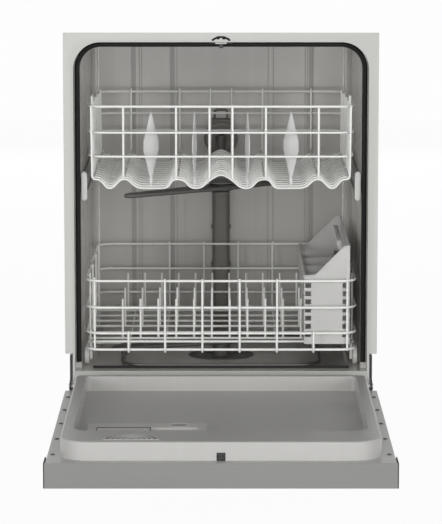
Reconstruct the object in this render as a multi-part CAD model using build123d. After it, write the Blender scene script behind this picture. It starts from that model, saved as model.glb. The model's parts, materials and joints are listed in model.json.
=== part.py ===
from build123d import *
import math
import os

os.makedirs("parts", exist_ok=True)

# Overall sizes of a 24 inch built-in dishwasher, door lying open (mm)
overall_height = 860.0
body_depth = 560.0
door_reach = 670.0
cavity_half = 270.0

# Tub
flange_thick = 3.0
flange_bottom = 242.0
recess_half = cavity_half + 11.0
recess_top = 842.0
recess_depth = 35.0
recess_radius = 52.0
cavity_top = recess_top - 10.0
cavity_radius = 42.0
roof_start = body_depth - 230.0
roof_slope = 4.23
tub_wall = 4.0
cavity_back = body_depth - tub_wall
shell_half = cavity_half + tub_wall
lip_depth = 60.0
track_z = 208.0
floor_z = 190.0
basin_half = cavity_half - 22.0
basin_radius = 24.0
basin_back_step = 12.0
panel_groove_x = (-183.0, -102.0, 104.0, 189.0)
panel_groove_width = 9.0
panel_groove_depth = 1.5
panel_groove_margin = 60.0
strike_half = 22.0
strike_y = (8.0, 30.0)
strike_thick = 3.0
hook_half = 4.0
hook_drop = 9.0
gasket_width = 10.0
gasket_thick = 4.4
lip_seal_height = 5.0
gasket_start = 12.0
edge_gap = 1.0

# Base below the tub
base_sheet = 2.0
base_half = shell_half
base_front = 57.0
base_rear = 550.0
base_bottom = 22.0
foot_radius = 16.0
foot_stem_radius = 5.0
foot_inset = 30.0
access_top = 180.0
access_bottom = 104.0
kick_step = 14.0
kick_bottom = 14.0
tray_y = (126.0, 215.0)
panel_thick = 2.0
panel_corner = 4.0
kick_slots = 9
kick_slot_pitch = 24.0
kick_slot = (16.0, 4.0)
kick_slot_rise = 18.0
base_vent = (100.0, 60.0)
base_vent_z = 105.0
foot_height = 8.0
foot_stem_top = 56.0
bracket_half = (22.0, 20.0)
bracket_thick = 4.0
leg_y = (5.0, 62.0)
leg_top = 60.0
leg_tie = 33.0
pin_end = 2.0
pin_head = 2.5
hose_hole_radius = 22.0

# Wash system
sump_y = 280.0
sump_radius = 66.0
sump_depth = 78.0
hub_radius = 17.0
lower_arm_z = 213.0
upper_arm_z = 528.0
arm_reach = 235.0
arm_root = 31.0
arm_tip = 21.0
arm_thick = 12.0
bearing_radius = 9.0
bearing_gap = 0.05
feed_width = 36.0
feed_depth = 24.0
dock_z = 603.0
dock_radius = 27.0
heater_radius = 3.5
heater_z = 199.0
heater_half = 195.0
heater_front = 110.0
heater_back = 455.0
heater_corner = 60.0
heater_leg_x = 30.0
filter_cup_radius = 34.0
filter_cup_depth = 50.0
filter_hole_radius = 5.0
filter_hole_ring = 50.0
sump_wall = 3.0
sump_rim = 16.0
jet_first = 70.0
jet_pitch = 45.0
jet_size = (10.0, 3.0)
arm_collar = 9.0
cap_height = 5.0
dock_collar = 8.0
dock_thick = 6.0
dock_bore = 10.0
motor_z = 105.0
motor_x = (-70.0, 50.0)
motor_band_x = (-40.0, 20.0)
motor_radius = 46.0
motor_setback = 60.0
motor_neck = (20.0, 13.0)
pump_z = 90.0
pump_radius = 30.0
pump_half = 45.0
pump_setback = 60.0
pump_neck_radius = 13.0
spigot_radius = 11.0
spigot_length = 30.0
valve_x = -195.0
valve_half = 25.0
valve_y = (130.0, 185.0)
valve_top = 80.0
coil_radius = 16.0
coil_height = 40.0
inlet_z = 50.0
inlet_radius = 12.0
inlet_length = 20.0
junction_x = (165.0, 225.0)
junction_y = (130.0, 210.0)
junction_top = 90.0
gland_radius = 11.0
gland_length = 10.0
gland_z = 60.0

# Door, measured along it from the hinge (r) and above it (h)
hinge_z = 178.0
door_below = 45.0
door_thick = 44.0
door_face = -3.0
leg_x = shell_half + 14.5
leg_thick = 3.0
hinge_arm_thick = 4.0
hinge_arm_x = leg_x - hinge_arm_thick - 1.5
notch_half = hinge_arm_x - 4.0
door_half = leg_x + 11.0
flange_width = 2 * door_half + 1.0
console_width = 2 * door_half + 7.0
notch_end = 25.0
sheet = 1.5
liner_thick = 2.5
plateau_half = recess_half - 4.0
plateau_top = 30.0
plateau_start = 40.0
lip_setback = 20.0
plateau_radius = 50.0
plateau_edge = 2.2
plateau_rear_radius = 12.0
shelf_start = 556.0
recess_inner_half = plateau_half - 20.0
recess_inner_radius = 30.0
recess_floor = 2.0
tray_start = 54.0
tray_radius = 10.0
console_start = 617.0
end_cap_thick = 2.0
screw_stations = (94.0, 216.0, 340.0, 473.0, 601.0)
screw_inset = 9.0
screw_head = 4.0
hinge_ear = 14.0
hinge_pin_radius = 4.0
hinge_gap = 0.05
hinge_arm_length = 150.0
hinge_neck = 45.0
hinge_foot = (14.0, 3.0)
hinge_eye = 7.5
latch_half = 6.25
latch_high = 13.0
latch_body = (18.0, 36.0, 22.0)
pocket_half = 120.0
pocket_start = 566.0
pocket_end = 608.0
pocket_depth = 30.0
pocket_wall = 2.0
pocket_rim = 8.0
board_x = (-160.0, 40.0)
board_r = (626.0, 660.0)
board_rise = 12.0
board_thick = 2.0
board_inset = (10.0, 6.0)
relay_xs = (-130.0, -90.0, -40.0, 0.0)
relay_size = (18.0, 12.0, 12.0)
button_xs = (-150.0, -105.0, -60.0, -15.0)
button_r = 643.0
button_radius = 6.0
button_gap = 0.3
button_proud = 1.5
button_travel = 1.2
dispenser_x = (-239.0, -24.0)
dispenser_r = (398.0, 546.0)
dispenser_high = 8.5
lid_x = (-220.0, -126.0)
lid_r = (438.0, 534.0)
lid_gap = 1.0
lid_thick = 3.5
lid_travel = 85.0
cup_wall = 8.0
cap_x = -75.0
cap_r = 417.0
cap_radius = 14.0
cap_sunk = 4.0
vent_x = -154.0
vent_r = 632.0
vent_radius = 50.0
vent_high = 1.6
vent_slots = 4
vent_slot_first = 14.0
vent_slot_pitch = 9.0
vent_slot_width = 4.0
vent_bar = 5.0

# Racks
rack_front = 18.0
rack_corner = 32.0
wheel_radius = 18.0
wire = 2.5
thin_wire = 2.0
wire_sides = 8
weld_gap = 0.05
lower_half = cavity_half - 10.0
lower_depth = 505.0
upper_half = cavity_half - 17.0
upper_depth = 490.0
upper_top = 718.0
upper_back_top = 703.0
upper_trough = 561.0
upper_crest = 578.0
upper_centre_crest = 589.0
lower_rim = track_z + 2 * wheel_radius + 3.0
lower_low = lower_rim + 32.0
lower_mid = lower_rim + 82.0
lower_top = lower_rim + 134.0
front_post_x = (-108.0, -36.0, 36.0, 108.0)
short_post_x = (-178.5, 178.5)
cross_stations = (62.0, 99.0, 165.0, 238.0, 300.0, 365.0, 432.0, 470.0)
tine_rows = (99.0, 238.0, 432.0)
tine_first = -193.0
tine_pitch = 35.0
tine_count = 11
tine_top = lower_rim + 83.0
side_stations = (75.0, 190.0, 330.0, 450.0)
basket_x = (161.0, 249.0)
basket_y = (34.0, 470.0)
basket_z = (lower_rim + 8.0, lower_rim + 141.0, lower_rim + 199.0)
basket_shoulder = 21.0
basket_wall = 2.2
basket_cells = 4
basket_slots = 4
basket_slot = (76.0, 12.0)
basket_slot_pitch = 30.0
basket_slot_rise = 24.0
divider_drop = 12.0
upper_mid = 668.0
upper_low = 622.0
upper_post_x = (-187.0, -86.0, -22.0, 22.0, 86.0, 187.0)
wave_first = 20.0
wave_pitch = 36.0
wave_count = 13
wave_troughs = ((208.0, 218.0), (102.0, 161.0), (38.7, 57.5))
wave_crests = ((upper_half - 21.0, upper_half - 6.0), (179.0, 192.0), (72.0, 93.0))
wave_inner_crest = 19.8
tie_x = (upper_half - 8.6, 185.5, 82.5)
clip_tines = ((-135.0, 45.0), (-51.0, 78.0), (51.0, -78.0), (135.0, -45.0))
clip_tine_y = 60.4
clip_bottom = 576.0
clip_height = 128.0
clip_half = 20.0
clip_thick = 2.5
clip_widest = (0.42, 0.56)
clip_foot = 3.0
clip_tip = 0.5
rack_tube_z = 572.0
rack_tube_radius = 12.0
riser_y = 494.0
hanger_waves = (8, 11)
riser_radius = 9.0
upper_hub_y = 261.0
rail_z = 563.0
rail_half_height = 14.0
rail_sheet = 2.0
rail_x = (cavity_half - 13.0, cavity_half - 1.5)
rail_web = (cavity_half - 8.3, cavity_half - 6.7)
rail_y = (38.0, 500.0)
stop_height = 57.0
stop_thick = 6.0
upper_wheel_y = (316.0, 456.0)
upper_side_y = (110.0, 218.0)
tub_roller_y = (110.0, 272.0)
roller_radius = 11.7
wheel_stations = (60.0, 445.0)
wheel_x = (lower_half - 3.0, lower_half + 5.0)
axle_radius = 3.0
axle_gap = 0.05
roller_gap = 0.6
post_proud = 4.0
upper_proud = 6.0
bend_chords = 3
bend_lead = 2.0
seat_gap = 0.3

# The machine's front plane is shifted so that the origin lies under the middle of its box
front_y = (door_reach - body_depth) / 2


def save(name, *solids):
    shape = solids[0] if len(solids) == 1 else Compound(children=list(solids))
    export_step(Pos(0, front_y, 0) * shape, f"parts/{name}.step")


def block(x0, x1, y0, y1, z0, z1):
    centre = Pos((x0 + x1) / 2, (y0 + y1) / 2, (z0 + z1) / 2)
    return centre * Box(abs(x1 - x0), abs(y1 - y0), abs(z1 - z0))


def rod(start, end, radius):
    start, end = Vector(*start), Vector(*end)
    line = end - start
    return Solid.make_cylinder(radius, line.length, Plane(origin=start, z_dir=line))


def upright(x, y, z0, z1, radius):
    return rod((x, y, z0), (x, y, z1), radius)


# A rack wire has an eight-sided section, so that crossing wires meet flat to flat
def wire_section(start, line, radius):
    side = Vector(1, 0, 0) if abs(line.X) < abs(line.Z) + abs(line.Y) else Vector(0, 1, 0)
    return Plane(origin=start, x_dir=side, z_dir=line) * RegularPolygon(
        radius, wire_sides, major_radius=False, rotation=180 / wire_sides)


def strand(start, end, radius):
    start, end = Vector(*start), Vector(*end)
    line = end - start
    return extrude(wire_section(start, line.normalized(), radius), line.length)


def post(x, y, z0, z1, radius):
    return strand((x, y, z0), (x, y, z1), radius)


# Corner points of a bent wire, in chords: the arc starts at an angle and turns a quarter circle
def corner_points(cx, cy, radius, start):
    outward = math.radians(start + 45)
    mid_x = cx - math.copysign(radius, math.cos(outward))
    mid_y = cy - math.copysign(radius, math.sin(outward))
    angles = [math.radians(start + 90 * i / bend_chords) for i in range(bend_chords + 1)]
    return [(mid_x + radius * math.cos(a), mid_y + radius * math.sin(a)) for a in angles]


def rounded(x0, x1, z0, z1, y0, y1, radius, top_only=False):
    solid = block(x0, x1, y0, y1, z0, z1)
    edges = solid.edges().filter_by(Axis.Y)
    if top_only:
        edges = edges.sort_by(Axis.Z)[-2:]
    return fillet(edges, radius)


def mirrored(solid):
    return solid.mirror(Plane.YZ)


# The roof falls towards the back, so this takes off what is above it
def roof_wedge(z):
    wedge = Pos(0, body_depth / 2, 100) * Box(2 * flange_width, body_depth, 200)
    return Pos(0, roof_start, z) * Rot(-roof_slope, 0, 0) * wedge


# Tub: flange, recess that takes the door's liner, and the wash cavity behind it
def make_tub():
    flange_half = flange_width / 2
    shell_bottom = floor_z - tub_wall
    ledge_y = recess_depth + tub_wall
    flange = block(-flange_half, flange_half, 0, flange_thick, flange_bottom, overall_height)
    throat = rounded(
        -recess_half - tub_wall, recess_half + tub_wall, shell_bottom, recess_top + tub_wall,
        0, ledge_y, recess_radius + tub_wall, True)
    shell = rounded(
        -shell_half, shell_half, shell_bottom, cavity_top + tub_wall,
        recess_depth, cavity_back + tub_wall, cavity_radius, True)
    recess = rounded(
        -recess_half, recess_half, track_z, recess_top, -1, recess_depth, recess_radius, True)
    cavity = rounded(
        -cavity_half, cavity_half, track_z, cavity_top, recess_depth - 1, cavity_back,
        cavity_radius, True)
    shell -= roof_wedge(cavity_top + tub_wall)
    cavity -= roof_wedge(cavity_top)
    basin = block(-basin_half, basin_half, lip_depth, cavity_back - basin_back_step,
                  floor_z, track_z + 1)
    basin = fillet(basin.edges().filter_by(Axis.Z), basin_radius)
    drain = Pos(0, sump_y, floor_z) * Cylinder(sump_radius, 40)
    below = block(-flange_half, flange_half, -1, flange_thick + 1, 0, shell_bottom)
    tub = flange + throat + shell - recess - cavity - basin - drain - below
    for x in panel_groove_x:
        half = panel_groove_width / 2
        tub -= block(x - half, x + half, cavity_back - 1, cavity_back + panel_groove_depth,
                     floor_z + panel_groove_margin, cavity_top - panel_groove_margin)
    return tub


def make_gasket():
    outer = recess_half - edge_gap
    inner = outer - gasket_width
    top = recess_top - edge_gap
    front = recess_depth - gasket_thick
    strip = rounded(-outer, outer, track_z + gasket_start, top, front, recess_depth,
                    recess_radius - edge_gap, True)
    hole = rounded(-inner, inner, track_z, top - gasket_width, front - 1, recess_depth + 1,
                   recess_radius - edge_gap - gasket_width, True)
    return strip - hole


def make_lip_seal():
    return block(-basin_half, basin_half, recess_depth - gasket_thick, recess_depth,
                 track_z, track_z + lip_seal_height)


def make_strike():
    under = recess_top - strike_thick
    y0, y1 = strike_y
    plate = block(-strike_half, strike_half, y0, y1, under, recess_top)
    plate = fillet(plate.edges().filter_by(Axis.Z), 5)
    hook = block(-hook_half, hook_half, y0 + 2, y1 - 4, under - hook_drop, under)
    slot = block(-hook_half - 1, hook_half + 1, y0 + 7, y1 - 9, under - hook_drop + 3, under - 2)
    return plate + hook - slot


save("tub", make_tub())
save("door_gasket", make_gasket())
save("lower_lip_seal", make_lip_seal())
save("latch_strike", make_strike())


# Base: side sheets with a toe step, cross sheets, front panels, legs and feet
tub_under = floor_z - tub_wall


def make_base_side(side):
    kick_y = base_front + kick_step
    outline = Polyline(
        (base_front, tub_under), (base_front, access_bottom), (kick_y, access_bottom),
        (kick_y, base_bottom), (base_rear, base_bottom), (base_rear, tub_under), close=True)
    face = Plane.YZ * make_face(outline)
    for s in (-1, 1):
        vent_y = (base_front + base_rear) / 2 + s * base_vent[0]
        face -= Plane.YZ * Pos(vent_y, base_vent_z) * SlotOverall(*base_vent)
    x = side * (base_half - base_sheet / 2) - base_sheet / 2
    return Pos(x, 0, 0) * extrude(face, base_sheet)


def make_rear_cross():
    inner = base_half - base_sheet
    sheet_wall = block(-inner, inner, base_rear - base_sheet, base_rear, base_bottom, tub_under)
    for x, z in ((valve_x, inlet_z), (sump_radius + pump_setback, pump_z)):
        hole = rod((x, base_rear - base_sheet - 1, z), (x, base_rear + 1, z), hose_hole_radius)
        sheet_wall -= hole
    return sheet_wall


def make_base_tray():
    inner = base_half - base_sheet
    return block(-inner, inner, *tray_y, base_bottom - base_sheet, base_bottom)


def make_front_panel(y, z0, z1, slots):
    panel = block(-base_half, base_half, y, y + panel_thick, z0, z1)
    panel = fillet(panel.edges().filter_by(Axis.Y), panel_corner)
    wide, high = kick_slot
    for i in range(slots):
        x = (i - (slots - 1) / 2) * kick_slot_pitch
        panel -= block(x - wide / 2, x + wide / 2, y - 1, y + panel_thick + 1,
                       z0 + kick_slot_rise, z0 + kick_slot_rise + high)
    return panel


def make_leg(side):
    half = leg_thick / 2
    foot = base_bottom - hinge_z
    tie_reach = leg_x - base_half
    leg = Cylinder(hinge_ear, leg_thick, rotation=(0, 90, 0))
    leg += block(-half, half, *leg_y, foot, leg_top)
    leg += block(-half, half, 0, hinge_ear + 6, -hinge_ear, hinge_ear)
    leg += block(-tie_reach, 0, leg_y[1] - leg_tie, leg_y[1], foot, foot + leg_thick)
    leg -= Cylinder(hinge_pin_radius + hinge_gap, 20, rotation=(0, 90, 0))
    leg = Pos(leg_x + half, 0, hinge_z) * leg
    return leg if side > 0 else mirrored(leg)


def make_hinge_pin(side):
    start = (hinge_arm_x - pin_end, 0, hinge_z)
    shoulder = (leg_x + leg_thick, 0, hinge_z)
    end = (leg_x + leg_thick + pin_end, 0, hinge_z)
    pin = rod(start, end, hinge_pin_radius) + rod(shoulder, end, hinge_pin_radius + pin_head)
    return pin if side > 0 else mirrored(pin)


def make_foot(x, y):
    pad = Pos(x, y, foot_height / 2) * Cylinder(foot_radius, foot_height)
    pad = chamfer(pad.edges().sort_by(Axis.Z)[-1], 2)
    return pad + upright(x, y, foot_height, foot_stem_top, foot_stem_radius)


def make_foot_bracket(x, y):
    wide, deep = bracket_half
    plate = block(x - wide, x + wide, y - deep, y + deep, base_bottom, base_bottom + bracket_thick)
    return plate - Pos(x, y, base_bottom) * Cylinder(foot_stem_radius, 20)


foot_x = base_half - base_sheet - bracket_half[0]
foot_ys = (base_front + kick_step + base_sheet + foot_inset, base_rear - base_sheet - foot_inset)
access_y = base_front - panel_thick - seat_gap
base_sheets = [make_base_side(-1), make_base_side(1), make_rear_cross(), make_base_tray()]
base_sheets += [make_foot_bracket(s * foot_x, y) for s in (-1, 1) for y in foot_ys]
save("base_frame", *base_sheets)
save("access_panel", make_front_panel(access_y, access_bottom, access_top, 0))
save("toe_kick", make_front_panel(access_y + kick_step, kick_bottom, access_bottom, kick_slots))
save("front_feet", *[make_foot(s * foot_x, foot_ys[0]) for s in (-1, 1)])
save("rear_feet", *[make_foot(s * foot_x, foot_ys[1]) for s in (-1, 1)])
for side, name in ((-1, "left"), (1, "right")):
    save(f"hinge_leg_{name}", make_leg(side))
save("hinge_pins", make_hinge_pin(-1), make_hinge_pin(1))


# Wash system: sump, filter, pumps, heater, feed tube and the two spray arms
def make_sump():
    middle = Pos(0, sump_y, tub_under - sump_depth / 2)
    rim_plate = Pos(0, sump_y, tub_under - sump_wall) * Cylinder(sump_radius + sump_rim, 2 * sump_wall)
    cup = rim_plate + middle * Cylinder(sump_radius + sump_wall, sump_depth)
    cup -= middle * Pos(0, 0, 2) * Cylinder(sump_radius - 1, sump_depth - 4)
    return cup - Pos(0, sump_y, tub_under) * Cylinder(sump_radius - 1, 20)


def make_filter():
    post_top = lower_arm_z - 1
    plate_z = floor_z - 1
    plate = Pos(0, sump_y, plate_z) * Cylinder(sump_radius - seat_gap, 3)
    cup = Cylinder(filter_cup_radius, filter_cup_depth)
    plate += Pos(0, sump_y, plate_z - 1 - filter_cup_depth / 2) * cup
    plate += upright(0, sump_y, plate_z, post_top, hub_radius)
    plate += upright(0, sump_y, post_top, lower_arm_z + arm_thick + 1, spindle_radius)
    for i in range(6):
        hole = Rot(0, 0, 60 * i) * Pos(filter_hole_ring, 0, 0) * Cylinder(filter_hole_radius, 8)
        plate -= Pos(0, sump_y, plate_z) * hole
    return plate


def make_arm(z, centre_y, yaw):
    outline = Polyline(
        (-arm_reach, -arm_tip / 2), (0, -arm_root), (arm_reach, -arm_tip / 2),
        (arm_reach, arm_tip / 2), (0, arm_root), (-arm_reach, arm_tip / 2), close=True)
    blade = extrude(make_face(outline), arm_thick)
    blade = fillet(blade.edges().filter_by(Axis.Z), 8)
    blade = chamfer(blade.faces().sort_by(Axis.Z)[-1].edges(), 2.5)
    blade += Pos(0, 0, arm_thick / 2) * Cylinder(hub_radius + arm_collar, arm_thick)
    for i in range(4):
        for s in (-1, 1):
            x = s * (jet_first + jet_pitch * i)
            blade -= Pos(x, s * 5, arm_thick) * Box(*jet_size, 3)
    blade -= Cylinder(spindle_radius + bearing_gap, 60)
    return Pos(0, centre_y, z) * Rot(0, 0, yaw) * blade


def make_arm_cap(z, y):
    disc = Cylinder(hub_radius, cap_height)
    return Pos(0, y, z) * chamfer(disc.edges().sort_by(Axis.Z)[-1], 2)


# The heating loop turns its corners in short chords, like the rack wires
def make_heater():
    x, back, front = heater_half, heater_back, heater_front
    points = [(-heater_leg_x, back)]
    for cx, cy, turn in ((-x, back, 90), (-x, front, 180), (x, front, 270), (x, back, 360)):
        points += corner_points(cx, cy, heater_corner, turn)
    points.append((heater_leg_x, back))
    loop = Polyline(*[(px, py, heater_z) for px, py in points])
    tube = sweep(wire_section(loop @ 0, loop % 0, heater_radius), path=loop, transition=Transition.RIGHT)
    for s in (-1, 1):
        tube += post(s * heater_leg_x, back, floor_z + seat_gap, heater_z, heater_radius)
    return tube


def make_heater_clips():
    half = 2 * heater_radius - 1
    top = heater_z - heater_radius - seat_gap
    spots = [(s * heater_half, sump_y) for s in (-1, 1)]
    spots += [(s * (heater_half - 105), heater_front) for s in (-1, 1)]
    return [block(x - half, x + half, y - half, y + half, floor_z + seat_gap, top) for x, y in spots]


def make_feed_tube():
    half = feed_width / 2
    run_top = floor_z + 20
    duct = block(-half, half, cavity_back - feed_depth, cavity_back, run_top, dock_z + 30)
    duct = fillet(duct.edges().filter_by(Axis.Z).sort_by(Axis.Y)[:2], 10)
    duct = fillet(duct.edges().group_by(Axis.Z)[-1], 6)
    step = cavity_back - basin_back_step
    duct += block(-half, half, sump_y + sump_radius + 8, step, floor_z, run_top)
    return duct - block(-40, 40, step, cavity_back, floor_z - 1, track_z)


def make_dock():
    place = Pos(0, cavity_back - feed_depth - dock_thick / 2, dock_z)
    ring = Cylinder(dock_radius + dock_collar, dock_thick, rotation=(90, 0, 0))
    return place * (ring - Cylinder(dock_bore, dock_thick + 2, rotation=(90, 0, 0)))


spindle_radius = bearing_radius - 2
save("sump", make_sump())
save("filter", make_filter())
save("lower_spray_arm", make_arm(lower_arm_z, sump_y, 22))
save("lower_arm_cap", make_arm_cap(lower_arm_z + arm_thick + 1 + cap_height / 2, sump_y))
save("heater", make_heater(), *make_heater_clips())
save("feed_tube", make_feed_tube())
save("feed_dock", make_dock())


def make_motor():
    edge = sump_y + sump_radius
    y = edge + motor_setback
    can = rod((motor_x[0], y, motor_z), (motor_x[1], y, motor_z), motor_radius)
    can += rod((motor_band_x[0], y, motor_z), (motor_band_x[1], y, motor_z), motor_radius + 4)
    wide, high = motor_neck
    return can + block(-wide, wide, edge + sump_wall, y - 20, motor_z - high, motor_z + high)


# The drain spigot and the water inlet face the hose holes in the rear sheet
def make_pump():
    x = sump_radius + pump_setback
    end = sump_y + pump_half
    can = rod((x, sump_y - pump_half, pump_z), (x, end, pump_z), pump_radius)
    neck_z = pump_z + 10
    can += rod((sump_radius + sump_wall, sump_y, neck_z), (x - 15, sump_y, neck_z), pump_neck_radius)
    return can + rod((x, end - 1, pump_z), (x, end + spigot_length, pump_z), spigot_radius)


def make_valve():
    y0, y1 = valve_y
    middle = (y0 + y1) / 2
    body = block(valve_x - valve_half, valve_x + valve_half, y0, y1, base_bottom, valve_top)
    body = fillet(body.edges().filter_by(Axis.Z), 6)
    body += upright(valve_x, middle, valve_top, valve_top + coil_height, coil_radius)
    return body + rod((valve_x, y1 - 1, inlet_z), (valve_x, y1 + inlet_length, inlet_z), inlet_radius)


def make_junction_box():
    x = sum(junction_x) / 2
    y0, y1 = junction_y
    box = block(*junction_x, y0, y1, base_bottom, junction_top)
    box = fillet(box.edges().filter_by(Axis.Z), 5)
    return box + rod((x, y0 - gland_length, gland_z), (x, y0 + 1, gland_z), gland_radius)


save("wash_motor", make_motor())
save("drain_pump", make_pump())
save("water_valve", make_valve())
save("junction_box", make_junction_box())


# Door: steel pan, moulded liner, console, dispenser and hinge arms, all lying open
face_under = door_face - liner_thick
door_outer = door_face - door_thick
lip_r = door_reach - lip_setback
console_half = console_width / 2


def slab(x0, x1, r0, r1, h0, h1):
    return block(x0, x1, -r1, -r0, hinge_z + h0, hinge_z + h1)


def notches():
    far = door_half + 5
    return [slab(s * notch_half, s * far, -door_below - 1, notch_end, door_outer - 1, 5)
            for s in (-1, 1)]


def make_door_panel():
    inner = door_half - sheet
    low = door_outer + sheet
    pan = slab(-door_half, door_half, -door_below, console_start, door_outer, face_under)
    pan -= slab(-inner, inner, -door_below + sheet, console_start + 1, low, face_under + 1)
    pan -= slab(-pocket_half, pocket_half, pocket_start, pocket_end, door_outer - 1, low + 1)
    for notch in notches():
        pan -= notch
    return pan


def make_plateau(inset, h0, h1):
    half = plateau_half - inset
    solid = slab(-half, half, plateau_start + inset, lip_r - inset, h0, h1)
    edges = solid.edges().filter_by(Axis.Z)
    solid = fillet(edges.sort_by(Axis.Y)[:2], plateau_radius - inset)
    return fillet(solid.edges().filter_by(Axis.Z).sort_by(Axis.Y)[-2:], plateau_rear_radius - inset)


def make_tray(inset, h0, h1):
    half = recess_inner_half - inset
    solid = slab(-half, half, tray_start + inset, shelf_start - inset, h0, h1)
    solid = fillet(solid.edges().filter_by(Axis.Z).sort_by(Axis.Y)[:2], recess_inner_radius - inset)
    return fillet(solid.edges().filter_by(Axis.Z).sort_by(Axis.Y)[-2:], tray_radius - inset)


def make_liner():
    liner = slab(-door_half, door_half, -door_below, door_reach - 2, face_under, door_face)
    for notch in notches():
        liner -= notch
    outside = make_plateau(0, face_under, plateau_top)
    liner += chamfer(outside.faces().sort_by(Axis.Z)[-1].edges(), plateau_edge)
    liner -= make_plateau(liner_thick, face_under - 1, plateau_top - liner_thick)
    liner -= make_tray(-liner_thick, face_under - 1, plateau_top + 1)
    tray = make_tray(-liner_thick, recess_floor - liner_thick, plateau_top)
    liner += tray - make_tray(0, recess_floor, plateau_top + 1)
    liner -= slab(-latch_half, latch_half, lip_r - 10, lip_r + 1, door_face, door_face + latch_high)
    return liner


def make_console():
    half = console_half - end_cap_thick
    shell = slab(-half, half, console_start, door_reach, door_outer, face_under)
    shell -= slab(-half + sheet, half - sheet, console_start - 1, door_reach - sheet,
                  door_outer + sheet, face_under + 1)
    shell += slab(-half, half, door_reach - sheet, door_reach, face_under - 1, door_face)
    for x in button_xs:
        shell -= Pos(x, -button_r, hinge_z + door_outer) * Cylinder(button_radius + button_gap, 10)
    return shell


def make_end_cap(side):
    inner, outer = console_half - end_cap_thick, console_half
    cap = slab(inner, outer, console_start, door_reach, door_outer, door_face)
    return cap if side > 0 else mirrored(cap)


def make_button(x):
    inside = hinge_z + door_outer + sheet
    foot = inside + button_travel + 0.4
    cap = upright(x, -button_r, hinge_z + door_outer - button_proud, foot, button_radius)
    return cap + upright(x, -button_r, inside + 0.2, foot, button_radius + 2)


def make_board():
    inside = hinge_z + door_outer + sheet
    under = inside + board_rise
    top = under + board_thick
    (x0, x1), (r0, r1) = board_x, board_r
    board = block(x0, x1, -r1, -r0, under, top)
    dx, dr = board_inset
    for x in (x0 + dx, x1 - dx):
        for r in (r0 + dr, r1 - dr):
            board += upright(x, -r, inside, under, 3)
    wide, deep, high = relay_size
    middle = -(r0 + r1) / 2 - 1
    for x in relay_xs:
        board += block(x - wide / 2, x + wide / 2, middle - deep / 2, middle + deep / 2, top, top + high)
    return board


def make_pocket():
    low = door_outer + sheet

    def grown(margin, h0, h1):
        return slab(-pocket_half - margin, pocket_half + margin,
                    pocket_start - margin, pocket_end + margin, h0, h1)

    tray = grown(pocket_rim, low, low + pocket_wall) + grown(pocket_wall, low, low + pocket_depth)
    return tray - grown(0, low - 1, low + pocket_depth - pocket_wall)


def make_dispenser():
    top = recess_floor + dispenser_high
    body = slab(*dispenser_x, *dispenser_r, recess_floor, top)
    body = fillet(body.edges().filter_by(Axis.Z), 9)
    body = chamfer(body.faces().sort_by(Axis.Z)[-1].edges(), 1.5)
    track_floor = top - lid_thick - seat_gap
    track = slab(lid_x[0] - lid_gap, lid_x[1] + lid_travel + lid_gap,
                 lid_r[0] - lid_gap, lid_r[1] + lid_gap, track_floor, top + 1)
    body -= fillet(track.edges().filter_by(Axis.Z), 3)
    cup = slab(lid_x[0] + cup_wall, lid_x[1] - cup_wall, lid_r[0] + cup_wall, lid_r[1] - cup_wall,
               recess_floor + 1.5, top)
    body -= fillet(cup.edges().filter_by(Axis.Z), 12)
    body -= Pos(cap_x, -cap_r, hinge_z + top) * Cylinder(cap_radius + 0.5, 2 * cap_sunk)
    return body


def make_lid():
    top = recess_floor + dispenser_high
    lid = fillet(slab(*lid_x, *lid_r, top - lid_thick, top).edges().filter_by(Axis.Z), 2)
    ridge_x = lid_x[1] - 10
    lid -= slab(ridge_x, ridge_x + 4, lid_r[0] + 14, lid_r[1] - 14, top - 1.2, top + 1)
    return lid


def make_rinse_cap():
    low = hinge_z + recess_floor + dispenser_high - cap_sunk + seat_gap
    cap = Pos(cap_x, -cap_r, low + 2) * Cylinder(cap_radius, 4)
    grip = block(cap_x - 9, cap_x + 9, -cap_r - 2, -cap_r + 2, low + 4, low + 4.6)
    return cap + grip


def make_vent():
    wide = 2 * vent_radius
    disc = Cylinder(vent_radius, vent_high) & Pos(0, vent_radius, 0) * Box(wide, wide, vent_high)
    for i in range(vent_slots):
        r = vent_slot_first + vent_slot_pitch * i
        arc = Cylinder(r + vent_slot_width, 5) - Cylinder(r, 5)
        disc -= arc & Pos(0, vent_radius + 4, 0) * Box(wide, wide, 5)
    disc += Pos(0, vent_radius / 2 - 0.5, 0) * Box(vent_bar, vent_radius - 2, vent_high)
    return Pos(vent_x, -vent_r, hinge_z + plateau_top + vent_high / 2) * disc


def make_latch():
    body = slab(-latch_body[0], latch_body[0], lip_r - latch_body[1], lip_r - liner_thick - seat_gap,
                face_under, face_under + latch_body[2])
    bolt = slab(-latch_half + 1, latch_half - 1, lip_r - 8, lip_r - 1, door_face + 1, door_face + 6)
    return body + bolt


def make_screw(side, r):
    seat = Pos(side * (door_half - screw_inset), -r, hinge_z + door_face)
    return extrude(seat * RegularPolygon(screw_head, 6), 2)


def make_hinge_arm(side):
    x0, x1 = hinge_arm_x, hinge_arm_x + hinge_arm_thick
    low, high = door_outer + sheet, face_under - 0.5
    arm = rod((x0, 0, hinge_z), (x1, 0, hinge_z), hinge_eye)
    arm += slab(x0, x1, 0, hinge_neck, -20, high)
    arm += slab(x0, x1, hinge_neck - 10, hinge_arm_length, low, high)
    arm += slab(x0 - hinge_foot[0], x0, hinge_neck, hinge_arm_length, low, low + hinge_foot[1])
    arm -= rod((x0 - 1, 0, hinge_z), (x1 + 1, 0, hinge_z), hinge_pin_radius + hinge_gap)
    return arm if side > 0 else mirrored(arm)


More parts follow.
